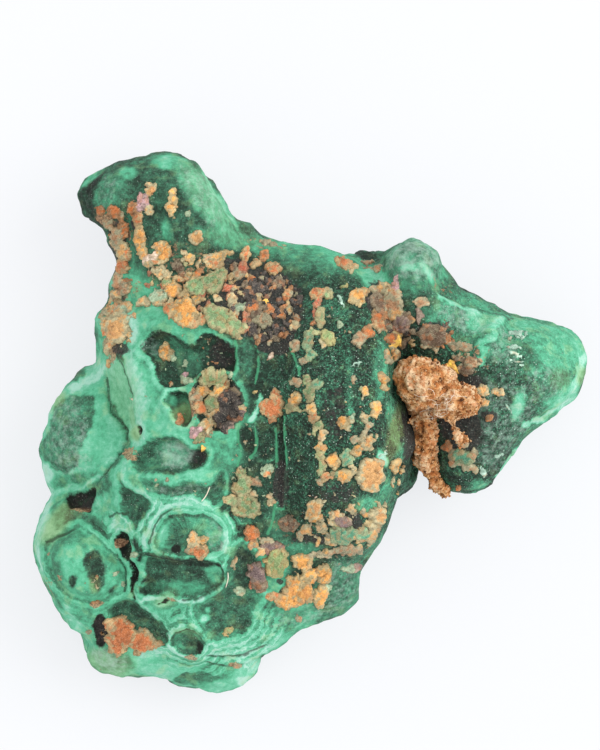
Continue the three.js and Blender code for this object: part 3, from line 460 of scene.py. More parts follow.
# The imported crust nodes, each with the plates that draw it.
NODE_PLATES = {
    "crust_salmon_plate": (
        ("salmon", -20.2, -22.6, 1.5, 1.6), ("salmon", -20.6, -24.2, 1.0, 0.9, 20),
        ("sand", -21.0, -23.0, 0.5, 0.9), ("salmon", -21.4, -21.8, 0.6, 0.8, 30),
    ),
    "crust_salmon_wedge": (
        ("salmon", -18.0, -23.6, 1.2, 1.0, -10), ("sand", -17.4, -23.0, 1.0, 0.5, -30),
        ("salmon", -16.9, -24.0, 1.0, 0.5, 10),
    ),
    "crust_ring_plate": (
        ("sand", -12.3, -12.6, 0.6, 1.0), ("amber", -11.3, -12.4, 0.45, 0.45),
        ("salmon", -11.7, -13.7, 0.9, 0.6, 10), ("tan", -12.6, -13.6, 0.4, 0.5),
    ),
    "crust_pit_plate": (("olive", -10.4, 4.7, 1.2, 0.8), ("olive", -9.5, 4.6, 0.8, 0.8)),
    "crust_pit_black": (("black", -8.3, 2.0, 1.1, 1.4), ("black", -8.9, 0.4, 1.1, 0.9)),
    "crust_amber_plate": (("amber", -13.2, 11.6, 1.3, 1.45, 10),),
    "crust_olive_band": (("olive", -9.4, 10.9, 1.9, 1.2, -32), ("olive", -7.8, 10.0, 1.1, 0.9)),
    "crust_olive_disc": (("olive", -11.9, 14.6, 1.1, 1.15), ("olive", -10.2, 15.0, 1.2, 1.2)),
    "crust_horn_left": (("amber", -17.9, 19.2, 0.6, 1.6, 8),),
    "crust_horn_right": (("amber", -14.6, 23.4, 0.5, 1.4, -2),),
    "crust_shoulder_plate": (("sand", -20.5, 9.9, 1.2, 1.4),),
    "crust_spongy_left": (("brown", -5.4, 11.4, 0.6, 0.5), ("tan", -4.9, 10.7, 1.0, 0.7)),
    "crust_spongy_right": (
        ("brown", 7.4, 12.6, 0.8, 1.1, 20), ("tan", 9.1, 12.3, 1.0, 1.2, 10),
        ("sand", 7.8, 14.2, 0.8, 0.6),
    ),
    "crust_star_plate": (
        ("salmon", -3.8, 1.5, 1.1, 1.2), ("salmon", -3.5, 2.7, 0.45, 0.9, 10),
        ("salmon", -4.7, 1.8, 0.6, 0.6), ("rust", -3.9, 0.7, 0.6, 0.6),
    ),
    "crust_tall_plate": (("sand", 0.6, -9.2, 0.75, 1.25, -22), ("amber", 0.9, -10.0, 0.6, 0.55)),
    "crust_large_oval": (
        ("sand", 6.4, -5.4, 1.35, 1.8, -12), ("fern", 5.9, -6.0, 0.5, 0.7),
        ("amber", 6.9, -4.4, 0.6, 0.6), ("amber", 6.9, -6.2, 0.4, 0.6), ("olive", 6.2, -4.7, 0.3, 0.4),
    ),
    "crust_olive_patch": (
        ("olive", -6.7, -8.9, 1.5, 1.2, -15), ("olive", -7.0, -6.6, 1.0, 1.1),
        ("olive", -8.1, -8.3, 0.8, 0.5, -20), ("sand", -7.6, -7.2, 0.4, 0.6),
        ("olive", -7.3, -5.3, 0.6, 0.4, 20),
    ),
    "crust_brown_lump": (("brown", -2.1, -10.7, 1.0, 0.85), ("tan", -1.7, -10.6, 0.6, 0.5)),
    "crust_fern_plate": (
        ("fern", -3.5, -14.9, 1.1, 1.5, -20), ("olive", -3.1, -14.2, 0.8, 0.9),
        ("amber", -3.9, -15.9, 0.6, 0.5, 30),
    ),
    "crust_teal_plate": (("teal", 3.5, -11.8, 1.3, 1.0),),
    "crust_purple_plate": (("purple", -5.7, -15.9, 0.9, 1.0, 20),),
    "crust_plum_plate": (("purple", -3.9, -13.3, 1.3, 0.6),),
    "crust_amber_cluster": (
        ("amber", -1.6, -18.4, 1.2, 1.3), ("amber", -0.5, -18.2, 0.9, 1.1),
        ("amber", -2.6, -19.2, 0.9, 0.7, -30),
    ),
    "crust_amber_tail": (("amber", 1.2, -18.7, 0.65, 1.2, -12),),
    "crust_brown_crumb": (("brown", -5.3, -17.2, 0.8, 0.8),),
}
HORN_CRUST = (
    ("sand", -16.9, 24.8, 0.55, 0.7), ("pink", -17.7, 23.6, 0.5, 0.9, -10),
    ("sand", -17.1, 22.6, 0.4, 0.5), ("rust", -18.7, 22.8, 0.6, 0.7),
    ("rust", -22.4, 22.7, 0.35, 0.55, 40), ("pale", -12.8, 22.3, 0.35, 0.4),
    ("amber", -15.5, 18.3, 0.75, 1.1), ("white", -16.8, 17.6, 1.15, 0.38, 38),
    ("sand", -12.0, 19.7, 0.8, 0.65), ("sand", -15.7, 16.0, 0.9, 0.6), ("tan", -20.6, 19.8, 0.6, 1.1),
    ("salmon", -20.0, 16.8, 0.8, 0.7, 30), ("tan", -20.6, 15.2, 0.6, 0.9, -10),
    ("rust", -19.8, 20.6, 0.5, 0.9), ("salmon", -18.2, 21.5, 0.4, 0.8),
    ("amber", -16.2, 19.0, 0.5, 0.35, 20), ("tan", -21.4, 21.2, 0.7, 0.4, -40),
    ("rust", -18.0, 19.9, 0.3, 0.8, 8), ("sand", -20.0, 18.6, 0.5, 1.1),
    ("sand", -20.6, 13.8, 0.5, 0.5),
)
UPPER_CRUST = (
    ("amber", -15.3, 7.5, 0.65, 0.9, 20), ("pale", -14.8, 6.9, 0.5, 0.35),
    ("salmon", -11.5, 14.4, 0.4, 0.4), ("salmon", -14.8, 11.9, 0.55, 0.9, 30),
    ("salmon", -12.8, 10.4, 1.0, 0.3, 10), ("amber", -14.5, 14.1, 0.8, 0.85),
    ("pale", -16.0, 13.6, 0.9, 0.65), ("sand", -17.6, 12.8, 0.7, 0.45),
    ("salmon", -13.4, 15.4, 0.9, 0.35), ("amber", -12.7, 15.7, 0.7, 0.35),
    ("salmon", -11.2, 11.1, 0.7, 0.35, 30), ("olive", -9.6, 15.9, 0.7, 0.7),
    ("amber", -9.4, 17.9, 1.1, 0.45, 20), ("tan", -10.7, 17.6, 0.4, 0.35),
    ("salmon", -9.8, 16.8, 0.6, 0.45), ("salmon", -6.8, 17.8, 0.5, 0.95, -10),
    ("salmon", -5.7, 17.0, 0.5, 0.4), ("rust", -4.9, 17.9, 0.45, 0.5),
    ("salmon", -3.8, 16.4, 0.8, 0.6, 20), ("red", -8.6, 14.3, 0.5, 0.4), ("red", -8.3, 13.3, 0.35, 0.5),
    ("red", -8.2, 12.4, 0.35, 0.5), ("salmon", -7.9, 11.6, 0.35, 0.6, 10),
    ("pale", -7.3, 12.2, 0.5, 0.45), ("red", -6.6, 11.2, 0.3, 0.5), ("red", -6.7, 9.9, 0.35, 0.3),
    ("sand", -8.0, 9.4, 0.9, 0.3, -20), ("brown", -3.2, 14.9, 0.5, 0.5),
    ("salmon", -2.3, 13.3, 0.35, 0.95), ("rust", -3.0, 11.4, 0.6, 0.4),
    ("yellow", -4.6, 12.9, 0.18, 0.5, 5), ("rust", -2.7, 9.3, 0.5, 0.4),
    ("sand", -1.6, 10.2, 0.4, 0.5, -30), ("amber", -20.1, 9.4, 0.4, 0.5),
    ("salmon", -21.4, 10.6, 0.5, 0.8), ("sand", -20.4, 11.2, 0.9, 0.5, 10),
    ("tan", -21.2, 13.6, 0.7, 0.5, 20), ("tan", -22.2, 12.2, 0.4, 0.8),
    ("salmon", -19.8, 14.2, 0.6, 0.4), ("sand", -21.6, 7.8, 0.3, 0.5),
    ("amber", -21.4, 6.3, 0.25, 0.45), ("tan", -4.4, 19.4, 0.9, 0.3, -10),
    ("tan", -7.6, 15.8, 0.5, 0.5), ("rust", -6.2, 15.3, 0.5, 0.4), ("black", -6.6, 13.4, 0.5, 0.5),
    ("rust", -6.0, 12.3, 0.5, 0.6), ("rust", -4.2, 12.0, 0.5, 0.5), ("black", -5.6, 14.2, 0.6, 0.5),
    ("sand", -2.0, 12.0, 0.3, 0.4), ("white", -4.0, 7.2, 0.2, 0.45, -10),
    ("brown", -8.0, 16.6, 0.4, 0.4), ("amber", -12.6, 17.5, 0.5, 0.5), ("sand", -16.0, 12.8, 0.6, 0.4),
    ("amber", -11.9, 13.1, 0.55, 0.4), ("sand", -17.0, 16.8, 0.5, 0.4),
    ("sand", -9.8, 13.3, 0.5, 0.4, 20), ("amber", -13.2, 13.6, 0.5, 0.4),
    ("pale", -13.0, 6.3, 0.3, 0.25), ("pink", -13.0, 5.2, 0.3, 0.35),
    ("pale", -13.0, 4.4, 0.5, 0.35, -30),
)
PIT_CRUST = (
    ("amber", -11.3, 3.4, 0.7, 0.65), ("amber", -9.7, 3.2, 1.0, 0.5, 35),
    ("olive", -10.3, 2.0, 0.8, 0.7), ("salmon", -11.5, 1.6, 0.55, 0.7, 20),
    ("sand", -9.6, 1.4, 0.7, 0.5), ("sand", -10.6, 0.8, 0.8, 0.4, -20),
    ("sand", -10.9, -0.4, 0.7, 0.5, -20), ("salmon", -10.8, -0.2, 0.3, 0.3),
    ("pink", -12.0, -1.1, 0.7, 0.5, 40), ("sand", -7.1, 1.5, 0.35, 0.35), ("tan", -11.9, 2.6, 0.5, 0.6),
    ("olive", -11.6, -1.8, 0.6, 0.5, 30), ("salmon", -8.9, 4.2, 0.5, 0.7, 30),
    ("purple", -8.4, 0.6, 0.35, 0.3), ("pale", -8.3, 5.1, 0.25, 0.2),
    ("yellow", -11.1, -2.8, 0.14, 0.25), ("sand", -10.2, 0.1, 0.6, 0.35),
    ("rust", -13.7, 0.3, 0.35, 0.5),
)
RIDGE_CRUST = (
    ("salmon", 1.0, 13.6, 0.75, 0.6, 10), ("red", 1.0, 12.8, 0.3, 0.45),
    ("pale", 2.0, 13.8, 0.5, 0.6, -30), ("olive", 2.0, 13.6, 0.5, 0.5), ("red", 0.7, 11.4, 0.22, 0.8),
    ("olive", 1.25, 11.2, 0.35, 1.0), ("rust", 0.5, 10.4, 0.35, 0.3), ("pale", 3.2, 10.4, 0.3, 0.35),
    ("amber", 5.2, 13.3, 0.75, 0.9), ("salmon", 6.0, 13.8, 0.35, 0.45), ("fern", 3.8, 14.5, 0.35, 0.22),
    ("tan", 5.3, 8.7, 0.65, 0.7), ("rust", 6.2, 9.5, 0.55, 0.55), ("rust", 7.2, 11.1, 0.5, 0.85),
    ("tan", 7.3, 14.1, 0.8, 0.45, -20), ("tan", 8.5, 13.3, 0.5, 0.4), ("sand", 9.3, 11.6, 0.8, 0.7),
    ("purple", 9.9, 10.4, 0.9, 0.8), ("rust", 8.8, 9.0, 0.7, 0.5), ("yellow", 9.4, 8.6, 0.7, 0.6, 20),
    ("yellow", 8.9, 7.8, 0.6, 0.4), ("sand", 8.8, 7.2, 0.7, 0.8), ("amber", 9.5, 9.4, 0.6, 0.4),
    ("tan", 8.6, 6.9, 0.6, 0.7, -20), ("salmon", 9.4, 7.4, 0.5, 0.35, -30),
    ("salmon", 3.8, 17.1, 1.1, 0.5, -32), ("sand", 4.7, 16.5, 0.5, 0.4, 10),
    ("tan", 6.7, 17.0, 1.0, 0.35, -15), ("tan", 7.4, 16.4, 0.4, 0.4), ("teal", -0.1, 8.6, 0.42, 1.1),
    ("teal", 0.2, 7.1, 0.6, 0.5, 20), ("olive", 0.6, 9.5, 0.7, 0.25), ("fern", 2.0, 8.9, 0.75, 0.8),
    ("sand", 1.6, 8.4, 0.4, 0.5), ("tan", -0.5, 6.4, 0.4, 0.35), ("tan", -1.4, 8.1, 0.4, 0.5, -20),
    ("tan", -1.3, 4.3, 0.5, 0.4), ("olive", -0.2, 4.5, 0.45, 0.5), ("teal", 0.7, 3.9, 0.75, 0.5, 10),
    ("olive", 0.1, 3.2, 0.5, 0.9), ("amber", -1.4, 2.5, 0.5, 0.8), ("olive", -1.9, 1.7, 0.6, 0.5),
    ("olive", -0.9, 1.3, 0.6, 0.25, 10), ("amber", 0.3, 1.5, 0.45, 0.6),
    ("salmon", 0.4, 0.5, 0.5, 0.45), ("olive", 1.0, -0.3, 0.4, 0.5, 30),
    ("sand", 1.5, -1.2, 0.45, 0.55), ("amber", 1.25, -2.5, 0.5, 0.45), ("olive", 1.1, -3.3, 0.35, 0.45),
    ("amber", 3.7, 0.2, 0.6, 0.6), ("pale", 4.6, 0.4, 0.35, 0.5), ("sand", 4.2, -0.6, 0.3, 0.25),
    ("amber", 7.0, 1.4, 0.6, 0.85), ("sand", 6.0, 0.5, 0.45, 0.5), ("tan", 6.1, -0.5, 0.4, 0.6, -20),
    ("sand", 6.0, -2.0, 0.7, 0.9, 10), ("tan", 4.8, -1.7, 0.5, 0.35, 10),
    ("amber", 5.0, -2.9, 0.55, 0.5), ("amber", 5.8, 3.3, 0.5, 0.5), ("olive", 5.4, 3.6, 0.35, 0.3),
    ("amber", 7.8, 4.4, 0.42, 0.9, 14), ("sand", 7.2, -1.4, 0.3, 0.3), ("amber", 2.6, -3.9, 0.75, 0.75),
    ("teal", 4.0, -3.7, 0.55, 0.9), ("olive", 1.4, -4.6, 0.4, 1.0), ("salmon", 2.0, -5.7, 0.6, 0.4, 20),
    ("teal", 2.8, -5.3, 0.5, 0.5), ("amber", 3.7, -5.6, 0.65, 0.6, 20), ("tan", 1.3, -6.2, 0.3, 0.3),
    ("sand", 4.6, -4.9, 0.3, 0.5), ("olive", 0.5, -0.9, 0.2, 0.3), ("fern", -5.6, 3.2, 0.28, 0.25),
    ("white", 4.1, 3.9, 0.12, 0.12),
)
LOWER_CRUST = (
    ("salmon", -4.3, -5.3, 0.5, 0.5), ("pale", -4.3, -5.1, 0.65, 0.75), ("sand", -4.1, -8.4, 0.4, 0.45),
    ("tan", -5.7, -6.3, 0.5, 0.55), ("purple", -6.9, -6.0, 0.5, 0.45), ("sand", -5.9, -7.7, 0.5, 0.3),
    ("sand", -0.2, -11.3, 0.65, 0.45, -20), ("tan", -0.9, -12.0, 0.4, 0.4),
    ("sand", 1.4, -11.1, 0.5, 0.35), ("sand", 2.9, -9.6, 0.6, 0.4), ("sand", 2.5, -10.5, 0.35, 0.5),
    ("purple", 3.6, -10.4, 0.8, 0.6), ("sand", 2.4, -12.6, 0.6, 0.35, -20),
    ("teal", 5.7, -11.8, 0.8, 0.6), ("sand", 6.7, -11.9, 0.5, 1.0), ("tan", 9.2, -7.3, 0.45, 1.3),
    ("salmon", 9.4, -9.0, 0.4, 0.5), ("sand", 8.6, -10.2, 0.6, 0.9, 20),
    ("tan", 7.9, -11.4, 0.5, 0.8, 20), ("amber", 1.2, -15.6, 0.5, 0.4), ("sand", 7.3, -9.9, 0.9, 0.8),
    ("amber", 8.4, -9.9, 0.8, 0.9), ("salmon", 7.5, -10.9, 0.35, 0.5), ("sand", 5.9, -12.5, 0.7, 0.2),
    ("sand", 8.5, -9.4, 0.5, 0.75), ("tan", 8.3, -10.9, 0.35, 0.85), ("sand", 9.2, -7.2, 0.45, 1.25),
    ("salmon", 9.6, -8.8, 0.35, 0.45), ("amber", 9.4, -4.7, 0.7, 0.75), ("tan", 10.4, -5.2, 0.45, 0.35),
    ("tan", 4.4, -13.6, 1.4, 0.5, -8), ("brown", 3.8, -13.8, 0.7, 0.35), ("tan", 1.4, -14.1, 1.2, 0.3),
    ("amber", -0.7, -14.8, 1.05, 0.85), ("amber", 0.0, -16.4, 0.8, 0.8),
    ("amber", -1.5, -17.0, 0.8, 0.7), ("amber", 1.6, -16.2, 0.75, 1.05, -10),
    ("salmon", -3.9, -18.6, 0.8, 0.35), ("pale", 1.9, -17.7, 0.4, 0.3), ("pale", 4.2, -15.8, 0.7, 0.4),
    ("purple", 5.4, -15.6, 0.7, 0.45), ("rust", -6.2, -11.7, 0.8, 0.9, -20),
    ("sand", -6.0, -12.8, 0.5, 0.5), ("tan", -4.5, -12.5, 0.7, 0.4), ("sand", -5.2, -13.7, 0.5, 0.5),
    ("fern", -8.6, -22.4, 0.6, 0.35, 20), ("sand", -7.9, -14.8, 0.25, 0.6, -10),
    ("pale", -7.5, -18.0, 0.5, 0.35), ("tan", -1.0, -21.2, 0.25, 0.3), ("white", 0.3, -7.65, 0.5, 0.1),
    ("tan", -27.9, -14.3, 0.2, 0.25), ("pale", -20.6, -16.2, 0.22, 0.2),
    ("pale", -19.9, -17.3, 0.22, 0.22), ("pale", -18.6, -14.2, 0.3, 0.25),
    ("rust", -22.8, -19.4, 0.35, 0.2), ("fern", -22.8, -16.8, 0.2, 0.2),
    ("sand", -22.7, -17.5, 0.15, 0.2), ("white", -18.85, 2.45, 0.3, 0.18),
    ("tan", -23.7, -22.6, 0.4, 0.3), ("tan", -7.9, -26.3, 0.4, 0.3), ("red", -6.0, -17.3, 0.35, 0.35),
)
RIGHT_CRUST = (
    ("tan", 12.0, 12.8, 0.75, 0.5), ("purple", 11.8, 11.5, 0.28, 0.8), ("brown", 13.2, 9.3, 1.5, 1.1),
    ("tan", 13.9, 9.6, 0.7, 0.6), ("tan", 12.6, 8.4, 0.6, 0.5), ("rust", 14.0, 8.6, 0.4, 0.4),
    ("tan", 16.5, 8.1, 0.9, 0.45, -10), ("tan", 15.6, 8.2, 0.4, 0.4),
    ("yellow", 15.2, 6.2, 0.5, 0.28, -35), ("yellow", 15.8, 5.6, 0.3, 0.25),
    ("tan", 16.1, 6.8, 0.6, 0.3), ("brown", 16.7, 5.6, 0.7, 0.5), ("tan", 17.4, 6.4, 0.6, 0.6),
    ("sand", 18.5, 3.4, 0.72, 0.6), ("sand", 20.3, 3.3, 0.6, 0.35), ("sand", 18.6, 2.1, 0.65, 0.35),
    ("rust", 19.4, 0.5, 0.3, 0.35), ("teal", 16.5, -3.7, 1.1, 0.75, -20), ("tan", 15.6, -3.9, 0.5, 0.9),
    ("tan", 17.2, -4.9, 1.1, 0.4, -25), ("tan", 17.5, -3.7, 0.4, 0.8, -20),
    ("rust", 14.9, -2.6, 0.45, 0.55), ("tan", 16.6, -2.3, 0.5, 0.4, -40),
    ("pink", 9.3, 14.6, 0.3, 0.75, 5), ("rust", 16.0, -7.2, 0.4, 0.3),
    ("white", 14.3, 9.9, 0.25, 0.12, 30), ("mint", 22.3, 9.6, 0.9, 0.16, -4),
    ("mint", 22.4, 9.1, 0.8, 0.15, 4), ("mint", 21.8, 8.0, 0.8, 0.15, -14),
    ("mint", 21.9, 7.3, 1.0, 0.16, -20), ("mint", 22.2, 6.5, 0.7, 0.15, -8),
    ("mint", 22.6, 6.0, 0.5, 0.13), ("mint", 18.7, -5.4, 0.2, 0.5, 20),
    ("mint", 20.6, -3.4, 0.5, 0.2, 45), ("mint", 21.3, 1.4, 0.5, 0.16, -50),
    ("mint", 5.0, 6.1, 0.5, 0.12, 25), ("mint", 7.9, -3.2, 0.5, 0.14, 50),
    ("mint", 3.4, 12.9, 0.7, 0.14, -60),
)
# Zones strewn with small plates: pigments, x, y, half-length, half-width, turn, how many, half-width.
STREWN = (
    (("amber", "salmon", "rust", "olive", "red", "sand", "brown"), -11.5, 14.6, 6.5, 3.4, -14, 110, 0.24),
    (("black", "black", "brown", "black", "rust", "tan"), -4.6, 12.2, 3.9, 3.8, -20, 130, 0.23),
    (("tan", "salmon", "rust", "sand"), -20.6, 16.6, 1.4, 6.5, 0, 64, 0.28),
    (("sand", "salmon", "pale"), -20.5, 10.6, 1.9, 2.8, 0, 40, 0.26),
    (("brown", "rust", "tan", "black", "brown", "salmon"), 8.8, 11.4, 2.0, 3.8, 25, 110, 0.26),
    (("brown", "rust", "tan", "black"), 13.6, 9.2, 1.9, 1.5, 0, 50, 0.24),
    (("tan", "brown"), 16.8, 6.4, 1.6, 1.3, 0, 26, 0.2),
    (("black", "brown", "purple"), -8.5, 1.4, 1.7, 2.3, 0, 60, 0.26),
    (("tan", "sand", "amber"), 4.6, -11.2, 4.6, 2.8, 10, 76, 0.22),
    (("tan", "rust", "pale"), -13.0, 5.0, 5.0, 4.5, 0, 60, 0.08),
    (("pale", "pale", "tan"), -13.6, -6.8, 4.4, 0.9, 0, 60, 0.06),
    (("tan", "rust"), -23.0, -16.0, 1.2, 2.0, 0, 26, 0.06),
    (("tan", "sand", "pale"), 3.0, 2.0, 6.5, 12.0, 0, 130, 0.08),
    (("tan", "pale"), -5.5, -4.0, 3.0, 5.6, 0, 60, 0.1),
    (("rust", "salmon"), -20.0, -23.0, 2.8, 1.8, -20, 30, 0.2),
)

# Steepest slope that carries crust, and the least height over the table.
STEEPEST_CRUST = 5.0
LOWEST_CRUST = 2.0

# Loose grains on the filling: how many, and their middling radius.
GRAIN_COUNT = 2400
GRAIN_RADIUS = 0.085

# Dust fibres: points along each, the middle of the tangle, how far it spreads and how many it has, and
# the loose ones on the stone as start, end, height of the arch.
FIBRE_STEPS = 14
TANGLE_MIDDLE = (13.9, 1.9)
TANGLE_SPREAD = 1.1
TANGLE_COUNT = 26
LOOSE_FIBRES = (((-11.4, -8.4), (-10.4, -6.8), 0.5), ((-8.6, -15.9), (-8.8, -17.7), 0.35))


# ---- Settings that a user would change ----

def colour_property(name, description, default):
    return bpy.props.FloatVectorProperty(
        name=name, description=description, default=default, size=3, subtype="COLOR", min=0, max=1,
    )


def length_property(name, description, default):
    return bpy.props.FloatProperty(
        name=name, description=description, default=default, unit="LENGTH", precision=5,
    )


class MalachiteStoneSettings(bpy.types.PropertyGroup):
    coarse: length_property("Coarse mesh", "Mesh size on the sides and underside", 0.69 * MM)
    relief: bpy.props.FloatProperty(
        name="Relief", description="Strength of the hollows and mounds", default=1.0, subtype="FACTOR",
    )
    deep: colour_property("Deep green", "Deepest hollows", (0.005, 0.008, 0.005))
    velvet: colour_property("Velvet green", "Dark velvety floors", (0.013, 0.036, 0.021))
    moss: colour_property("Moss green", "Between velvet and bright", (0.030, 0.098, 0.057))
    bright: colour_property("Bright green", "Smooth lobes", (0.050, 0.215, 0.120))
    leaf: colour_property("Leaf green", "Walls between the hollows", (0.078, 0.360, 0.205))
    mint: colour_property("Mint", "Pale bands", (0.150, 0.450, 0.295))
    pale: colour_property("Pale mint", "Palest rims", (0.310, 0.550, 0.440))


class MalachiteCrustSettings(bpy.types.PropertyGroup):
    pitch: length_property("Mesh size", "Mesh size of the crust", 0.096 * MM)
    thickness: length_property("Plate thickness", "How far a plate stands off the stone", 0.26 * MM)
    sunk: length_property("Plate root", "How deep a plate's edge goes into the stone", 0.3 * MM)
    seed: bpy.props.IntProperty(name="Seed", description="Picks the strewn crumbs", default=7)


class MalachiteFillingSettings(bpy.types.PropertyGroup):
    grain: length_property("Mesh size", "Mesh size of the brown filling", 0.13 * MM)
    ochre: colour_property("Ochre", "Dry crumbs", (0.50, 0.25, 0.095))
    # The umber stands for painted shade in the filling's recesses.
    recess_shade: colour_property("Umber", "Damp recesses", (0.075, 0.034, 0.018))


class MalachiteStageSettings(bpy.types.PropertyGroup):
    distance: length_property("Camera height", "Camera above the table", 0.6)
    floor: colour_property("Floor", "Frosted glass of the light table", (0.15, 0.15, 0.152))
    glow: colour_property("Glow", "Light that comes up through the floor", (0.725, 0.735, 0.755))


# ---- Noise and distances, on whole arrays ----

SHUFFLE = np.tile(np.random.RandomState(3).permutation(256), 3)
SLANTS = np.array([
    (1, 1, 0), (-1, 1, 0), (1, -1, 0), (-1, -1, 0), (1, 0, 1), (-1, 0, 1), (1, 0, -1), (-1, 0, -1),
    (0, 1, 1), (0, -1, 1), (0, 1, -1), (0, -1, -1), (1, 1, 0), (-1, 1, 0), (0, -1, 1), (0, -1, -1),
], float)


def gradient_noise(points, pitch, seed=0):
    """Perlin noise: each lattice corner holds a slant, and the heights of the eight slants around a
    point are blended by the quintic fade 6t^5 - 15t^4 + 10t^3. About -1 to 1."""
    spread = points / pitch + 31.7 * (seed + 1)
    corner = np.floor(spread).astype(int)
    inside = spread - corner
    fade = inside**3 * (inside * (inside * 6 - 15) + 10)
    total = np.zeros(len(points))
    for dx in (0, 1):
        for dy in (0, 1):
            for dz in (0, 1):
                a = SHUFFLE[(corner[:, 0] + dx) & 255]
                b = SHUFFLE[a + ((corner[:, 1] + dy) & 255)]
                pick = SHUFFLE[b + ((corner[:, 2] + dz) & 255)] & 15
                height = (SLANTS[pick] * (inside - (dx, dy, dz))).sum(1)
                share_x, share_y, share_z = np.abs(1 - np.array((dx, dy, dz)) - fade).T
                total += height * (share_x * share_y * share_z)
    return total


def layered_noise(points, pitch, layers, seed=0):
    """Sum of gradient noises, each layer half the pitch and half the height of the one before."""
    total = np.zeros(len(points))
    for layer in range(layers):
        total += gradient_noise(points, pitch / 2**layer, seed + 5 * layer) / 2**layer
    return total


def nodules(points, pitch, seed=0):
    """Grape-like relief, 1 at the middle of the nearest of a set of jittered lattice points and falling
    as the square root of one minus the squared distance, with a random share of 0 to 1 for each grape
    and the place of its middle."""
    spread = points / pitch
    corner = np.floor(spread).astype(int)
    nearest, pick, middle = np.full(len(points), 9.0), np.zeros(len(points)), np.zeros(points.shape)
    for dx in (-1, 0, 1):
        for dy in (-1, 0, 1):
            for dz in (-1, 0, 1):
                cell = corner + (dx, dy, dz)
                a = SHUFFLE[(cell[:, 0] + seed) & 255]
                b = SHUFFLE[a + (cell[:, 1] & 255)]
                c = SHUFFLE[b + (cell[:, 2] & 255)]
                jitter = np.stack([c, SHUFFLE[c + 11], SHUFFLE[c + 77]], 1) / 255
                distance = ((cell + jitter - spread) ** 2).sum(1)
                closer = distance < nearest
                pick = np.where(closer, SHUFFLE[c + 133] / 255, pick)
                middle = np.where(closer[:, None], cell + jitter, middle)
                nearest = np.where(closer, distance, nearest)
    return np.sqrt(np.clip(1 - nearest / 0.8, 0, 1)), pick, middle * pitch


def smooth(value, low, high):
    """The smooth step 3t^2 - 2t^3, from 0 at low to 1 at high."""
    t = np.clip((value - low) / (high - low), 0, 1)
    return t * t * (3 - 2 * t)


def mixed(a, b, share):
    return a + (b - a) * share


def oval_axes(x, y, cx, cy, half_length, half_width, degrees=0):
    """Plan positions in an oval's own axes, where its edge is at a radius of 1."""
    c, s = math.cos(math.radians(degrees)), math.sin(math.radians(degrees))
    return ((x - cx) * c + (y - cy) * s) / half_length, ((y - cy) * c - (x - cx) * s) / half_width


def soft_oval(x, y, at, softness):
    """1 inside an oval, falling to 0 outside it over a share of its size given by softness."""
    return 1 - smooth(np.hypot(*oval_axes(x, y, *at)), 1 - softness, 1 + softness)


def line_distance(x, y, points):
    """Distance to the nearest point of an open line of straight stretches."""
    nearest = np.full(x.shape, 99.0)
    for (ax, ay), (bx, by) in zip(points[:-1], points[1:]):
        length = (bx - ax) ** 2 + (by - ay) ** 2
        t = np.clip(((x - ax) * (bx - ax) + (y - ay) * (by - ay)) / length, 0, 1)
        nearest = np.minimum(nearest, np.hypot(x - ax - t * (bx - ax), y - ay - t * (by - ay)))
    return nearest


def rounded(outline, steps=4):
    """A closed Catmull-Rom curve through the outline's corners, as short straight stretches."""
    p = np.array(outline, float)
    before, after, beyond = np.roll(p, 1, 0), np.roll(p, -1, 0), np.roll(p, -2, 0)
    t = (np.arange(steps) / steps)[None, :, None]
    before, p, after, beyond = (corner[:, None] for corner in (before, p, after, beyond))
    curve = 0.5 * (
        2 * p + (after - before) * t + (2 * before - 5 * p + 4 * after - beyond) * t**2
        + (3 * p - before - 3 * after + beyond) * t**3
    )
    return curve.reshape(-1, 2)


def outline_distance(x, y, outline, far=4.0):
    """Distance from a closed curve, negative inside it. Points farther off than far get far."""
    curve = rounded(outline)
    low, high = curve.min(0) - far, curve.max(0) + far
    near = (x > low[0]) & (x < high[0]) & (y > low[1]) & (y < high[1])
    px, py = x[near], y[near]
    nearest = line_distance(px, py, np.vstack([curve, curve[:1]]))
    inside = np.zeros(px.shape, bool)
    for (ax, ay), (bx, by) in zip(curve, np.roll(curve, -1, 0)):
        if ay != by:
            inside ^= ((ay > py) != (by > py)) & (px < ax + (py - ay) * (bx - ax) / (by - ay))
    result = np.full(x.shape, far)
    result[near] = np.minimum(np.where(inside, -nearest, nearest), far)
    return result


# ---- The stone's fields: what the lists above say at each plan position ----

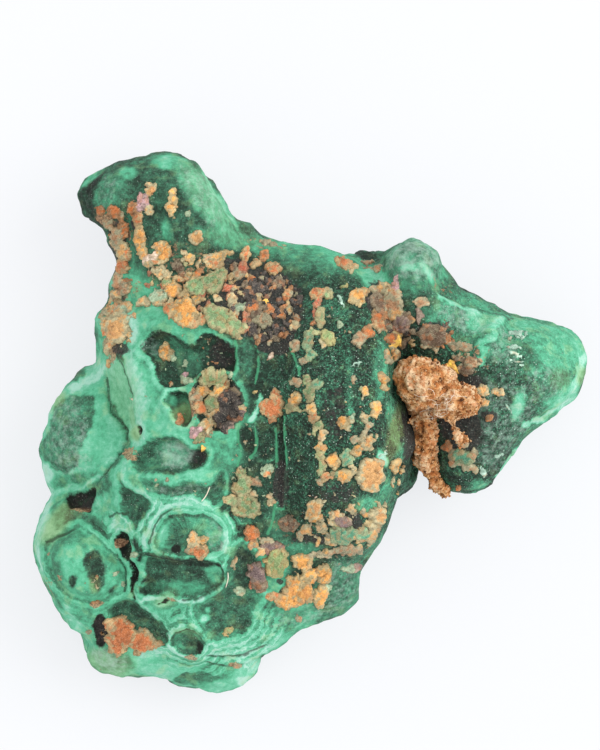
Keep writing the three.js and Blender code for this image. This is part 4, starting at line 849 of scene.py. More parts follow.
class Plan:
    """Relief and colour fields of the upper side at plan positions x, y in millimetres."""

    def __init__(self, points):
        x, y = points[:, 0], points[:, 1]
        flat = np.stack([x, y, np.zeros_like(x)], 1)
        self.x = x + 0.16 * gradient_noise(flat, 1.7, 1) + 0.10 * gradient_noise(flat, 0.7, 2)
        self.y = y + 0.16 * gradient_noise(flat, 1.7, 3) + 0.10 * gradient_noise(flat, 0.7, 4)
        self.ragged = 0.3 * gradient_noise(flat, 0.8, 6) + 0.2 * gradient_noise(flat, 0.4, 7)
        self.read_hollows()
        self.read_tones()
        self.read_lines()

    def read_hollows(self):
        x, y = self.x, self.y
        self.edge, self.blur = np.full(x.shape, FAR), np.full(x.shape, BLUR)
        self.floor, self.rim = np.full(x.shape, 0.3), np.zeros(x.shape)
        self.relief = np.zeros(x.shape)
        self.halos = []
        for hollow in HOLLOWS.values():
            edge = outline_distance(x, y, hollow["outline"])
            nearer = edge < self.edge
            self.floor = np.where(nearer, hollow["floor"], self.floor)
            self.rim = np.where(nearer, hollow["rim"], self.rim)
            self.blur = np.where(nearer, hollow.get("blur", BLUR), self.blur)
            self.edge = np.minimum(self.edge, edge)
            self.halos.append((edge, hollow["halo"], hollow["reach"]))
            self.relief -= hollow["depth"] * smooth(-edge, -0.1, 0.7)
            self.relief += 0.2 * hollow["depth"] * np.exp(-(((edge - 0.3) / 0.3) ** 2))
            self.relief += hollow.get("dome", 0.0) * smooth(-edge, 0.3, 1.8)
        for *oval, height in MOUNDS:
            self.relief += height * soft_oval(x, y, oval, 0.6)

    def read_tones(self):
        x, y = self.x, self.y
        self.wall = np.full(x.shape, 0.2)
        for *oval, tone, softness in TONES:
            self.wall = mixed(self.wall, tone, soft_oval(x, y, oval, softness))
        for edge, tone, reach in self.halos:
            self.wall = mixed(self.wall, tone, 1 - smooth(edge, 0.4 * reach, reach))
        for *oval, tone, softness in FLOOR_TONES:
            self.floor = mixed(self.floor, tone, soft_oval(x, y, oval, softness))
        for points, half_width, tone in STROKES:
            distance = line_distance(x, y, points) + self.ragged
            self.paint(tone, 1 - smooth(distance, 0.4 * half_width, 1.5 * half_width))
        for outline, tone in PATCHES:
            share = 1 - smooth(outline_distance(x, y, outline, 1.0) + 0.8 * self.ragged, -0.16, 0.16)
            self.paint(tone, share)
            self.relief -= 0.1 * share
        self.bands = np.zeros(x.shape)
        for *oval, strength in BANDED:
            self.bands = np.maximum(self.bands, strength * soft_oval(x, y, oval, 0.3))
        self.olive = self.stain(OLIVE)
        self.rust = self.stain(RUST)
        self.soot_and_shade = self.stain(SOOT_AND_SHADE)
        self.frost = self.stain(FROST)

    def paint(self, tone, share):
        """Mixes a tone into the walls and the floors alike."""
        self.wall = mixed(self.wall, tone, share)
        self.floor = mixed(self.floor, tone, share)

    def stain(self, patches):
        """Strength of the strongest patch at each place."""
        total = np.zeros(self.x.shape)
        for *oval, strength in patches:
            total = np.maximum(total, strength * soft_oval(self.x, self.y, oval, 0.4))
        return total

    def read_lines(self):
        x, y = self.x, self.y
        self.line = np.full(x.shape, FAR)
        for points, height in BRIGHT_LINES:
            distance = line_distance(x, y, points)
            self.line = np.minimum(self.line, distance)
            self.relief += height * np.exp(-((distance / 0.2) ** 2))
        self.crack = np.full(x.shape, FAR)
        for points, depth in CRACKS:
            distance = line_distance(x, y, points)
            self.crack = np.minimum(self.crack, distance)
            self.relief -= depth * np.exp(-((distance / 0.22) ** 2))


# ---- Meshes ----

def merged_copy(node, name):
    """A linked object whose mesh is a CAD node's triangles with their shared corners merged."""
    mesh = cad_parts[node].data.copy()
    mesh.materials.clear()
    work = bmesh.new()
    work.from_mesh(mesh)
    bmesh.ops.remove_doubles(work, verts=work.verts, dist=0.001 * MM)
    work.to_mesh(mesh)
    work.free()
    return link_object(name, mesh)


def link_object(name, mesh):
    mesh.name = name
    obj = bpy.data.objects.new(name, mesh)
    bpy.context.scene.collection.objects.link(obj)
    return obj


def remesh(obj, size):
    """Rebuilds the object's mesh from cubes of the given size, as even four-sided faces."""
    modifier = obj.modifiers.new("remesh", "REMESH")
    modifier.mode = "VOXEL"
    modifier.voxel_size = size
    view = bpy.context.evaluated_depsgraph_get()
    mesh = bpy.data.meshes.new_from_object(obj.evaluated_get(view))
    obj.modifiers.clear()
    obj.data = mesh


def read_points(mesh):
    points = np.empty(len(mesh.vertices) * 3, np.float32)
    mesh.vertices.foreach_get("co", points)
    return points.reshape(-1, 3).astype(float)


def write_points(mesh, points):
    mesh.vertices.foreach_set("co", points.astype(np.float32).ravel())
    mesh.update()


def read_normals(mesh):
    normals = np.empty(len(mesh.vertices) * 3, np.float32)
    mesh.vertex_normals.foreach_get("vector", normals)
    return normals.reshape(-1, 3).astype(float)


def relax(mesh, rounds, keep=None):
    """Moves each point halfway to the mean of its neighbours, round after round."""
    edges = np.empty(len(mesh.edges) * 2, int)
    mesh.edges.foreach_get("vertices", edges)
    a, b = edges.reshape(-1, 2).T
    points = read_points(mesh)
    count = len(points)
    valence = np.bincount(a, minlength=count) + np.bincount(b, minlength=count)
    for _ in range(rounds):
        mean = np.stack([
            np.bincount(a, points[b, k], count) + np.bincount(b, points[a, k], count) for k in range(3)
        ], 1) / np.maximum(valence, 1)[:, None]
        moved = 0.5 * (points + mean)
        points = moved if keep is None else np.where(keep[:, None], points, moved)
    write_points(mesh, points)


def split_upward_faces(mesh, least_slope, least_height):
    """Cuts each face that looks up into nine, for a mesh three times as fine on the upper side."""
    count = len(mesh.polygons)
    normals, centres = np.empty(count * 3), np.empty(count * 3)
    mesh.polygons.foreach_get("normal", normals)
    mesh.polygons.foreach_get("center", centres)
    chosen = (normals[2::3] > least_slope) & (centres[2::3] > least_height)
    work = bmesh.new()
    work.from_mesh(mesh)
    work.faces.ensure_lookup_table()
    edges = {edge for index in np.flatnonzero(chosen) for edge in work.faces[index].edges}
    bmesh.ops.subdivide_edges(work, edges=list(edges), cuts=2, use_grid_fill=True)
    bmesh.ops.triangulate(work, faces=[face for face in work.faces if len(face.verts) > 4])
    work.to_mesh(mesh)
    work.free()


def set_field(mesh, name, values):
    layer = mesh.attributes.new(name, "FLOAT", "POINT")
    layer.data.foreach_set("value", values.astype(np.float32))


def set_colours(mesh, name, colours):
    layer = mesh.attributes.new(name, "FLOAT_COLOR", "POINT")
    filled = np.ones((len(colours), 4), np.float32)
    filled[:, :3] = colours
    layer.data.foreach_set("color", filled.ravel())


def shade_smooth(mesh):
    mesh.polygons.foreach_set("use_smooth", np.ones(len(mesh.polygons), bool))
    mesh.update()


def grid_faces(rows, columns):
    """Quads of a grid that closes round its columns, with rows running from the top pole down."""
    row = np.arange(rows - 1)[:, None]
    column = np.arange(columns)[None, :]
    following = (column + 1) % columns
    quads = np.stack([
        row * columns + column, (row + 1) * columns + column,
        (row + 1) * columns + following, row * columns + following,
    ], -1)
    return quads.reshape(-1, 4)


def joined_grids(points, name):
    """One mesh from an array of closed grids, shaped piece, row, column, axis. Row 0 and the last row
    are each drawn together at a pole, as doubles that merge_poles merges."""
    pieces, rows, columns, _ = points.shape
    faces = grid_faces(rows, columns)
    all_faces = (faces[None] + (np.arange(pieces) * rows * columns)[:, None, None]).reshape(-1, 4)
    mesh = bpy.data.meshes.new(name)
    mesh.from_pydata(points.reshape(-1, 3), [], all_faces)
    return mesh


def merge_poles(mesh):
    work = bmesh.new()
    work.from_mesh(mesh)
    bmesh.ops.remove_doubles(work, verts=work.verts, dist=0.0001 * MM)
    bmesh.ops.recalc_face_normals(work, faces=work.faces)
    work.to_mesh(mesh)
    work.free()


def joined_meshes(meshes, name):
    """One mesh from several, keeping their point attributes."""
    work = bmesh.new()
    for mesh in meshes:
        work.from_mesh(mesh)
        bpy.data.meshes.remove(mesh)
    joined = bpy.data.meshes.new(name)
    work.to_mesh(joined)
    work.free()
    return joined


def sheet_faces(kept):
    """Faces of a two-sided sheet over the kept cells of a grid of corners: the cells on top, the same
    cells turned over beneath, and a wall along each edge that only one kept cell has. The first half
    of the corners is the top and the second half the bottom."""
    rows, columns = kept.shape[0] + 1, kept.shape[1] + 1
    corner = np.arange(rows * columns).reshape(rows, columns)
    under = rows * columns
    quads = np.stack([corner[:-1, :-1], corner[:-1, 1:], corner[1:, 1:], corner[1:, :-1]], -1)[kept]
    faces = [quads, quads[:, ::-1] + under]
    padded = np.pad(kept, 1)
    along = (
        (corner[:, :-1], corner[:, 1:], padded[1:, 1:-1], padded[:-1, 1:-1]),
        (corner[1:, :], corner[:-1, :], padded[1:-1, 1:], padded[1:-1, :-1]),
    )
    for start, end, ahead, behind in along:
        for a, b, open_side in ((start, end, ahead & ~behind), (end, start, behind & ~ahead)):
            a, b = a[open_side], b[open_side]
            faces.append(np.stack([b, a, a + under, b + under], -1))
    return np.concatenate(faces)


class Ground:
    """Height of a surface seen from above, on a square grid, for laying pieces on it."""

    def __init__(self, obj, pitch=0.18):
        low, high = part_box("malachite_stone")
        margin = 1
        self.pitch = pitch
        self.x0, self.y0 = low[0] / MM - margin, low[1] / MM - margin
        columns = int((high[0] / MM + margin - self.x0) / pitch) + 1
        rows = int((high[1] / MM + margin - self.y0) / pitch) + 1
        tree = BVHTree.FromObject(obj, bpy.context.evaluated_depsgraph_get())
        down, start = Vector((0, 0, -1)), high[2] + 10 * MM
        across = (self.x0 + np.arange(columns) * pitch) * MM
        along = (self.y0 + np.arange(rows) * pitch) * MM
        hits = (tree.ray_cast(Vector((x, y, start)), down)[0] for y in along for x in across)
        heights = np.array([hit.z / MM if hit else 0.0 for hit in hits])
        self.heights = heights.reshape(rows, columns)

    def height(self, x, y):
        """Bilinear height between the four grid points around each position."""
        u = np.clip((x - self.x0) / self.pitch, 0, self.heights.shape[1] - 1.001)
        v = np.clip((y - self.y0) / self.pitch, 0, self.heights.shape[0] - 1.001)
        i, j = u.astype(int), v.astype(int)
        s, t = u - i, v - j
        z = self.heights
        near = z[j, i] * (1 - s) + z[j, i + 1] * s
        beyond = z[j + 1, i] * (1 - s) + z[j + 1, i + 1] * s
        return near * (1 - t) + beyond * t

    def slopes(self, x, y, reach=0.3):
        """Height differences across twice the reach, along x and along y."""
        slope_x = (self.height(x + reach, y) - self.height(x - reach, y)) / (2 * reach)
        slope_y = (self.height(x, y + reach) - self.height(x, y - reach)) / (2 * reach)
        return slope_x, slope_y

    def normal(self, x, y):
        """Unit normal, with the steepness capped on cliffs."""
        slope_x, slope_y = (np.clip(slope, -2, 2) for slope in self.slopes(x, y))
        normal = np.stack([-slope_x, -slope_y, np.ones_like(slope_x)], -1)
        return normal / np.linalg.norm(normal, axis=-1, keepdims=True)


# ---- Shader nodes ----

class Nodes:
    """Adds nodes to a tree and joins each input that is given as a socket."""

    def __init__(self, tree):
        self.tree = tree

    def add(self, kind, inputs=None, **settings):
        node = self.tree.nodes.new(kind)
        for name, value in settings.items():
            setattr(node, name, value)
        for name, value in (inputs or {}).items():
            if isinstance(value, bpy.types.NodeSocket):
                self.tree.links.new(value, node.inputs[name])
            else:
                node.inputs[name].default_value = value
        return node

    def math(self, operation, a, b=0.0, clamp=False):
        return self.add("ShaderNodeMath", {0: a, 1: b}, operation=operation, use_clamp=clamp).outputs[0]

    def scaled(self, value, factor, offset=0.0):
        node = self.add("ShaderNodeMath", {0: value, 1: factor, 2: offset}, operation="MULTIPLY_ADD")
        return node.outputs[0]

    def total(self, *values):
        return reduce(partial(self.math, "ADD"), values)

    def times(self, *values):
        return reduce(partial(self.math, "MULTIPLY"), values)

    def step(self, value, low, high):
        """0 at low and 1 at high, smoothly; low may be the larger."""
        rising = low < high
        inputs = {"Value": value, "From Min": min(low, high), "From Max": max(low, high),
                  "To Min": 0.0 if rising else 1.0, "To Max": 1.0 if rising else 0.0}
        return self.add("ShaderNodeMapRange", inputs, interpolation_type="SMOOTHSTEP").outputs["Result"]

    def mix_value(self, factor, a, b):
        return self.add("ShaderNodeMix", {0: factor, 2: a, 3: b}, data_type="FLOAT").outputs[0]

    def mix_colour(self, factor, a, b, blend="MIX"):
        a = a if isinstance(a, bpy.types.NodeSocket) else (*a, 1.0)
        b = b if isinstance(b, bpy.types.NodeSocket) else (*b, 1.0)
        node = self.add("ShaderNodeMix", {0: factor, 6: a, 7: b}, data_type="RGBA", blend_type=blend)
        return node.outputs[2]

    def field(self, name):
        return self.add("ShaderNodeAttribute", attribute_name=name).outputs["Fac"]

    def colour_field(self, name):
        return self.add("ShaderNodeAttribute", attribute_name=name).outputs["Color"]

    def way(self, start, end):
        """The vector from a start to an end."""
        return self.add("ShaderNodeVectorMath", {0: end, 1: start}, operation="SUBTRACT").outputs[0]

    def length(self, vector):
        return self.add("ShaderNodeVectorMath", {0: vector}, operation="LENGTH").outputs["Value"]

    def place(self):
        """Object coordinates in millimetres."""
        where = self.add("ShaderNodeTexCoord").outputs["Object"]
        return self.add("ShaderNodeVectorMath", {0: where, "Scale": 1 / MM}, operation="SCALE").outputs[0]

    def noise(self, where, size, detail=2.0, roughness=0.5):
        inputs = {"Vector": where, "Scale": 1 / size, "Detail": detail, "Roughness": roughness}
        return self.add("ShaderNodeTexNoise", inputs).outputs["Fac"]

    def centred_noise(self, where, size, detail=2.0, roughness=0.5):
        """Noise that swings evenly to both sides of 0, by about 0.5."""
        return self.scaled(self.noise(where, size, detail, roughness), 2.0, -1.0)

    def ramp(self, value, stops):
        node = self.add("ShaderNodeValToRGB", {"Fac": value})
        elements = node.color_ramp.elements
        while len(elements) < len(stops):
            elements.new(0.5)
        for element, (position, colour) in zip(elements, stops):
            element.position = position
            element.color = (*colour, 1.0)
        return node.outputs["Color"]


def new_group(name, vectors, numbers, outputs):
    """An empty shader node group. It takes vectors, and numbers with defaults, and gives numbers."""
    tree = bpy.data.node_groups.new(name, "ShaderNodeTree")
    for label in vectors:
        tree.interface.new_socket(label, in_out="INPUT", socket_type="NodeSocketVector")
    for label, default in numbers.items():
        socket = tree.interface.new_socket(label, in_out="INPUT", socket_type="NodeSocketFloat")
        socket.default_value = default
    for label in outputs:
        tree.interface.new_socket(label, in_out="OUTPUT", socket_type="NodeSocketFloat")
    source, sink = (tree.nodes.new(kind) for kind in ("NodeGroupInput", "NodeGroupOutput"))
    return tree, Nodes(tree), source.outputs, sink.inputs


def grain_group():
    """Grain: fine mottling, crystal facets, tiny glints of painted highlight and a grainy height, all from
    a place in millimetres and the size of a grain. Mottle and Facets swing to both sides of 0; the glint
    mask and Height run from 0 to 1."""
    if "Mineral grain" in bpy.data.node_groups:
        return bpy.data.node_groups["Mineral grain"]
    tree, g, source, sink = new_group(
        "Mineral grain", ("Place",), {"Grain size": 0.2, "Glint share": 0.1},
        ("Mottle", "Facets", "Painted glints", "Height"),
    )
    place = source["Place"]
    scale = g.math("DIVIDE", 1.0, source["Grain size"])
    inputs = {"Vector": place, "Scale": scale, "Detail": 2.0, "Roughness": 0.6}
    coarse = g.add("ShaderNodeTexNoise", inputs)
    fine = g.add("ShaderNodeTexNoise", {"Vector": place, "Scale": g.scaled(scale, 2.3), "Detail": 1.0})
    both = g.total(coarse.outputs["Fac"], fine.outputs["Fac"])
    cells = g.add("ShaderNodeTexVoronoi", {"Vector": place, "Scale": g.scaled(scale, 0.85)}, feature="F1")
    parts = g.add("ShaderNodeSeparateColor", {"Color": cells.outputs["Color"]}).outputs
    chosen = g.math("LESS_THAN", parts["Red"], source["Glint share"])
    spot = g.step(cells.outputs["Distance"], 0.4, 0.1)
    strength = g.math("POWER", parts["Green"], 2.5)
    tiny = g.add("ShaderNodeTexVoronoi", {"Vector": place, "Scale": g.scaled(scale, 1.7)}, feature="F1")
    tiny_parts = g.add("ShaderNodeSeparateColor", {"Color": tiny.outputs["Color"]}).outputs
    facets = g.total(g.scaled(parts["Blue"], 1.0, -0.5), g.scaled(tiny_parts["Red"], 1.0, -0.5))
    links = tree.links
    links.new(g.scaled(both, 1.6, -1.6), sink["Mottle"])
    links.new(facets, sink["Facets"])
    links.new(g.times(chosen, spot, strength), sink["Painted glints"])
    links.new(g.scaled(both, 0.5), sink["Height"])
    return tree


def fibre_group():
    """Radial fibres: streaks that run out from a centre, from a place and a centre in millimetres."""
    if "Radial fibres" in bpy.data.node_groups:
        return bpy.data.node_groups["Radial fibres"]
    tree, g, source, sink = new_group("Radial fibres", ("Place", "Centre"), {}, ("Streak",))
    away = g.way(source["Centre"], source["Place"])
    parts = g.add("ShaderNodeSeparateXYZ", {0: away})
    angle = g.math("ARCTAN2", parts.outputs["Y"], parts.outputs["X"])
    inputs = {0: g.scaled(angle, 6.0), 1: g.scaled(g.length(away), 0.55)}
    where = g.add("ShaderNodeCombineXYZ", inputs).outputs[0]
    tree.links.new(g.centred_noise(where, 0.5, 3.0, 0.6), sink["Streak"])
    return tree


def place_group(g, tree, inputs):
    return g.add("ShaderNodeGroup", inputs, node_tree=tree).outputs


def new_material(name):
    material = bpy.data.materials.new(name)
    material.use_nodes = True
    tree = material.node_tree
    return material, Nodes(tree), tree.nodes["Principled BSDF"]


def finish_surface(g, shader, colour, roughness, height, strength, distance):
    """Joins a colour, a roughness and a bump height to the shader."""
    links = g.tree.links
    links.new(colour, shader.inputs["Base Color"])
    if isinstance(roughness, bpy.types.NodeSocket):
        links.new(roughness, shader.inputs["Roughness"])
    else:
        shader.inputs["Roughness"].default_value = roughness
    bump = g.add("ShaderNodeBump", {"Height": height, "Strength": strength, "Distance": distance})
    links.new(bump.outputs["Normal"], shader.inputs["Normal"])


# Linear colours that are laid over the stone's green, and the stops of its ramps.
FROST_COLOUR = (0.36, 0.50, 0.41)
RIDGE_COLOUR = (0.05, 0.27, 0.13)
SEAM_COLOUR = (0.018, 0.030, 0.016)
# The glint colour is a painted highlight, mixed into the base colour in tiny specks.
PAINTED_GLINT_COLOUR = (0.44, 0.58, 0.48)
PALE_RIM_TONE = 0.93
OLIVE_STOPS = (
    (0.0, (0.014, 0.014, 0.008)), (0.3, (0.085, 0.105, 0.045)), (0.55, (0.14, 0.25, 0.10)),
    (0.8, (0.26, 0.42, 0.20)),
)
RUST_STOPS = ((0.36, (0.10, 0.045, 0.026)), (0.5, (0.30, 0.16, 0.085)), (0.62, (0.46, 0.29, 0.16)))
SOOT_AND_SHADE_STOPS = ((0.38, (0.009, 0.009, 0.009)), (0.56, (0.034, 0.030, 0.027)), (0.72, (0.12, 0.095, 0.07)))


def band_tone(g, inside, edge, ragged):
    """Bands that follow the hollows' edges, layers on the sides, and a painted shade just inside each
    edge.
    """
    wide = g.math("SINE", g.scaled(edge, TURN / 0.8, -TURN / 8))
    narrow = g.math("SINE", g.scaled(edge, TURN / 0.31))
    share = g.times(g.field("bands"), g.mix_value(inside, 1.0, 0.2))
    bands = g.times(share, g.total(g.scaled(wide, 0.13), g.scaled(narrow, 0.07)))
    layers = g.total(g.field("layer"), g.scaled(ragged, 1.6))
    side_bands = g.times(g.field("side"), g.scaled(g.math("SINE", g.scaled(layers, TURN / 0.9)), 0.09))
    # Painted shade: a dark band just inside each hollow's edge, at the foot of its wall.
    foot_shade = g.step(g.math("ABSOLUTE", g.scaled(edge, 1.0, 0.2)), 0.24, 0.04)
    foot_shade = g.times(foot_shade, g.step(g.field("blur"), 0.3, 0.1))
    return g.total(bands, side_bands, g.scaled(foot_shade, -0.1))


def mottled_tone(g, place, grain, tone):
    """Broad and fine mottling, with more grain where the tone is dark."""
    broad = g.centred_noise(place, 2.2, 3.0)
    middle = g.centred_noise(place, 0.75, 4.0, 0.65)
    dark = g.step(tone, 0.5, 0.25)
    mottle = g.times(grain["Mottle"], g.mix_value(dark, 0.09, 0.16), g.field("grain"))
    facets = g.times(grain["Facets"], g.mix_value(dark, 0.10, 0.20), g.field("grain"))
    return g.total(g.scaled(broad, 0.2), g.scaled(middle, 0.3), mottle, facets)


def fan_tone(g, place, centre, reach, strength):
    """Fine fibres round a centre, as far as the reach on the plan."""
    streak = place_group(g, fibre_group(), {"Place": place, "Centre": centre})["Streak"]
    away = g.way(centre, place)
    level = g.add("ShaderNodeVectorMath", {0: away, 1: (1, 1, 0)}, operation="MULTIPLY").outputs[0]
    near = g.step(g.length(level), reach, 0.8 * reach)
    return g.scaled(g.times(streak, near), strength)


def stone_tone(g, place, grain, inside, edge, ragged):
    """Tone of the stone: the fields' tone, bands that follow the edges, fibres, rims and mottling."""
    plain = g.mix_value(inside, g.field("wall"), g.field("floor"))
    tone = g.total(
        plain, band_tone(g, inside, edge, ragged), mottled_tone(g, place, grain, plain),
        *(fan_tone(g, place, *fan) for fan in FIBRE_FANS),
    )
    broken = g.step(g.noise(place, 1.3, 3.0, 0.6), 0.4, 0.62)
    rim = g.step(g.math("ABSOLUTE", g.scaled(edge, 1.0, -0.1)), 0.2, 0.03)
    rim_share = g.times(rim, broken, g.field("rim"))
    return g.mix_value(g.scaled(rim_share, 0.7), tone, PALE_RIM_TONE)


def tinted(g, place, tone, ragged, patchy, colour):
    """Olive tint, grey frost, bright ridges and dark seams over the green."""
    stray = g.scaled(g.step(g.noise(place, 1.5, 3.0), 0.52, 0.68), 0.4)
    olive = g.math("MAXIMUM", g.field("olive"), stray)
    colour = g.mix_colour(olive, colour, g.ramp(tone, OLIVE_STOPS))
    frost = g.step(g.total(g.field("frost"), g.scaled(patchy, 0.8)), 0.2, 0.9)
    colour = g.mix_colour(g.scaled(frost, 0.55), colour, FROST_COLOUR)
    ridge = g.total(g.field("line"), g.scaled(ragged, 0.6))
    colour = g.mix_colour(g.scaled(g.step(ridge, 0.2, 0.06), 0.8), colour, RIDGE_COLOUR)
    seam = g.total(g.field("crack"), g.scaled(ragged, 0.7))
    return g.mix_colour(g.scaled(g.step(seam, 0.2, 0.03), 0.75), colour, SEAM_COLOUR)


def malachite_material(settings):
    """Tone from the stone's fields becomes green by a ramp, then olive, stains, soot and painted shade,
    frost and painted glints.
    """
    material, g, shader = new_material("malachite")
    place = g.place()
    grain = place_group(g, grain_group(), {"Place": place, "Grain size": 0.17, "Glint share": 0.4})
    ragged = g.scaled(g.noise(place, 0.5, 4.0, 0.6), 0.5, -0.25)
    patchy = g.scaled(g.noise(place, 0.7, 5.0, 0.7), 2.2, -1.1)
    blur = g.field("blur")
    edge = g.total(g.field("edge"), ragged, g.times(g.scaled(ragged, 2.4), blur))
    inside = g.math("SUBTRACT", 0.5, g.math("DIVIDE", edge, g.scaled(blur, 2.0)), clamp=True)
    tone = stone_tone(g, place, grain, inside, edge, ragged)
    colour = g.ramp(tone, [
        (0.0, settings.deep), (0.2, settings.velvet), (0.34, settings.moss), (0.5, settings.bright),
        (0.64, settings.leaf), (0.82, settings.mint), (1.0, settings.pale),
    ])
    colour = tinted(g, place, tone, ragged, patchy, colour)
    rust = g.step(g.total(g.field("rust"), patchy), 0.46, 0.66)
    rust_colour = g.ramp(g.noise(place, 0.22, 3.0, 0.7), RUST_STOPS)
    colour = g.mix_colour(g.scaled(rust, 0.8), colour, rust_colour)
    # Soot and painted shade: near-black patches of real soot and of painted shade in gaps and recesses.
    soot_and_shade = g.step(g.total(g.field("soot_and_shade"), g.scaled(patchy, 0.7)), 0.3, 0.6)
    soot_and_shade_colour = g.ramp(g.noise(place, 0.2, 4.0, 0.7), SOOT_AND_SHADE_STOPS)
    colour = g.mix_colour(g.scaled(soot_and_shade, 0.9), colour, soot_and_shade_colour)
    # Painted highlight: tiny pale glints mixed into the base colour, more of them on dark tones and in
    # grainy zones.
    painted_glint_room = g.times(g.mix_value(g.step(tone, 0.7, 0.34), 0.4, 0.85), g.field("grain"))
    painted_glints = g.times(grain["Painted glints"], painted_glint_room)
    colour = g.mix_colour(painted_glints, colour, PAINTED_GLINT_COLOUR)

    height = g.total(grain["Height"], g.scaled(inside, -0.3), g.scaled(rust, 0.3), g.scaled(soot_and_shade, 0.3))
    finish_surface(g, shader, colour, g.mix_value(painted_glints, 0.78, 0.45), height, 0.8, 0.12 * MM)
    shader.inputs["Specular IOR Level"].default_value = 0.25
    return material


def crust_material():
    """The pigment of each plate, with the painted shade in its colour field, mottled and grained."""
    material, g, shader = new_material("crust")
    place = g.place()
    grain = place_group(g, grain_group(), {"Place": place, "Grain size": 0.16, "Glint share": 0.08})
    pigment = g.colour_field("pigment")
    dark = g.mix_colour(1.0, pigment, (0.30, 0.26, 0.26), "MULTIPLY")
    light = g.mix_colour(0.35, pigment, (0.80, 0.70, 0.52))
    colour = g.mix_colour(g.scaled(g.step(grain["Mottle"], -0.02, -0.6), 0.85), pigment, dark)
    colour = g.mix_colour(g.scaled(g.step(grain["Mottle"], 0.1, 0.6), 0.8), colour, light)
    finish_surface(g, shader, colour, 0.88, grain["Height"], 0.8, 0.1 * MM)
    shader.inputs["Specular IOR Level"].default_value = 0.2
    return material


def filling_material(settings):
    """Earthy brown: ochre crumbs over umber recesses, the umber being painted shade."""
    material, g, shader = new_material("limonite")
    place = g.place()
    grain = place_group(g, grain_group(), {"Place": place, "Grain size": 0.2, "Glint share": 0.06})
    damp = g.centred_noise(place, 2.4, 2.0)
    # The stored height becomes colour: umber in the low places as painted shade, the palest stop on the
    # highest crumbs as a painted highlight.
    raised = g.total(g.field("raised"), g.scaled(grain["Mottle"], 0.4), g.scaled(damp, 0.3))
    colour = g.ramp(raised, [
        (0.14, settings.recess_shade), (0.34, (0.30, 0.12, 0.04)), (0.6, settings.ochre),
        (0.95, (0.64, 0.45, 0.27)),
    ])
    reddish = g.step(g.noise(place, 0.6, 3.0), 0.46, 0.6)
    colour = g.mix_colour(g.scaled(reddish, 0.6), colour, (0.46, 0.15, 0.04))
    # Painted shade: dark pits where the grain's bump is low.
    pits = g.step(grain["Mottle"], -0.05, -0.5)
    colour = g.mix_colour(g.scaled(pits, 0.75), colour, (0.07, 0.028, 0.014))
    finish_surface(g, shader, colour, 0.92, grain["Height"], 0.9, 0.12 * MM)
    shader.inputs["Specular IOR Level"].default_value = 0.15
    return material


def fibre_material():
    """Pale, slightly uneven dust fibre."""
    material, g, shader = new_material("dust fibre")
    place = g.place()
    colour = g.ramp(g.noise(place, 0.5), [(0.3, (0.58, 0.45, 0.32)), (0.7, (0.80, 0.74, 0.62))])
    finish_surface(g, shader, colour, 0.7, g.noise(place, 0.1), 0.2, 0.02 * MM)
    return material


def floor_material(settings):
    """A white light table: frosted glass that glows evenly and takes only a faint shadow."""
    material, g, shader = new_material("floor")
    place = g.place()
    tooth = g.noise(place, 0.7, 3.0)
    glass = tuple(settings.floor)
    dim = tuple(0.97 * channel for channel in glass)
    finish_surface(g, shader, g.mix_colour(tooth, dim, glass), 0.9, tooth, 0.05, 0.05 * MM)
    shader.inputs["Specular IOR Level"].default_value = 0.0
    shader.inputs["Emission Color"].default_value = (*settings.glow, 1.0)
    shader.inputs["Emission Strength"].default_value = 1.0
    return material


# ---- Pieces ----

def stone_lift(points, plan, upward, lobes, relief):
    """How far each point moves along its normal: by the plan's relief where the stone looks up, by
    nodules where it looks aside or down, and not at all at the underside."""
    aside = 1 - upward
    rough = 0.22 * layered_noise(points, 3.4, 2, 20) + 0.08 * gradient_noise(points, 0.7, 31)
    rough += 0.14 * aside * gradient_noise(points, 1.4, 32)
    dark = 1 - smooth(np.where(plan.edge < 0, plan.floor, plan.wall), 0.3, 0.5)
    velvet = (0.06 + 0.10 * dark) * gradient_noise(points, 0.5, 33)
    velvet = velvet + 0.12 * gradient_noise(points, 1.1, 34)
    grapes = 0.75 * lobes + 0.28 * nodules(points, 1.5, 9)[0] - 0.75
    lift = upward * (relief * plan.relief + velvet) + aside * grapes + rough
    for x, y, reach, push in KNOBS:
        away = (points[:, 0] - x) ** 2 + (points[:, 1] - y) ** 2
        lift += aside * push * np.exp(-away / reach**2)
    return lift * smooth(points[:, 2], UNDERSIDE, 0.9)


def stone_fields(points, normals, plan, upward, lobes):
    """The fields that the stone's colour is made from, by name."""
    x, y, height = points.T
    aside, facing = 1 - upward, smooth(normals[:, 2], 0.0, 0.25)
    side_tone = 0.32 + 0.25 * layered_noise(points, 6.0, 3, 40) + 0.12 * lobes
    side_tone = mixed(side_tone, plan.wall, 0.85 * smooth(height, 2.0, 6.0))
    # Painted light: steep faces high on the stone are made paler, as if lit along the upper edges.
    painted_slope_light = 0.12 * (1 - smooth(normals[:, 2], 0.2, 0.7)) * smooth(height, 4.0, 7.0)
    side_rust = 0.25 * aside * smooth(gradient_noise(points, 5, 50), 0.1, 0.4)
    sparkling = sum(strength * soft_oval(x, y, oval, 0.3) for *oval, strength in SPARKLING)
    return {
        "wall": mixed(side_tone, plan.wall + painted_slope_light, facing),
        "floor": plan.floor,
        "edge": plan.edge + 6 * aside,
        "rim": plan.rim * upward,
        "bands": plan.bands * upward,
        "blur": plan.blur,
        "layer": 0.55 * height + 1.8 * lobes,
        "side": 1 - facing,
        "line": plan.line + 3 * aside,
        "crack": plan.crack + 3 * aside,
        "olive": plan.olive * facing,
        "rust": plan.rust * upward + side_rust,
        "soot_and_shade": plan.soot_and_shade * smooth(height, 2.0, 4.0),
        "frost": plan.frost * upward,
        # The grain field scales the stone's fine grain and its painted glints alike.
        "grain": 0.55 + 0.85 * np.minimum(sparkling, 1),
    }


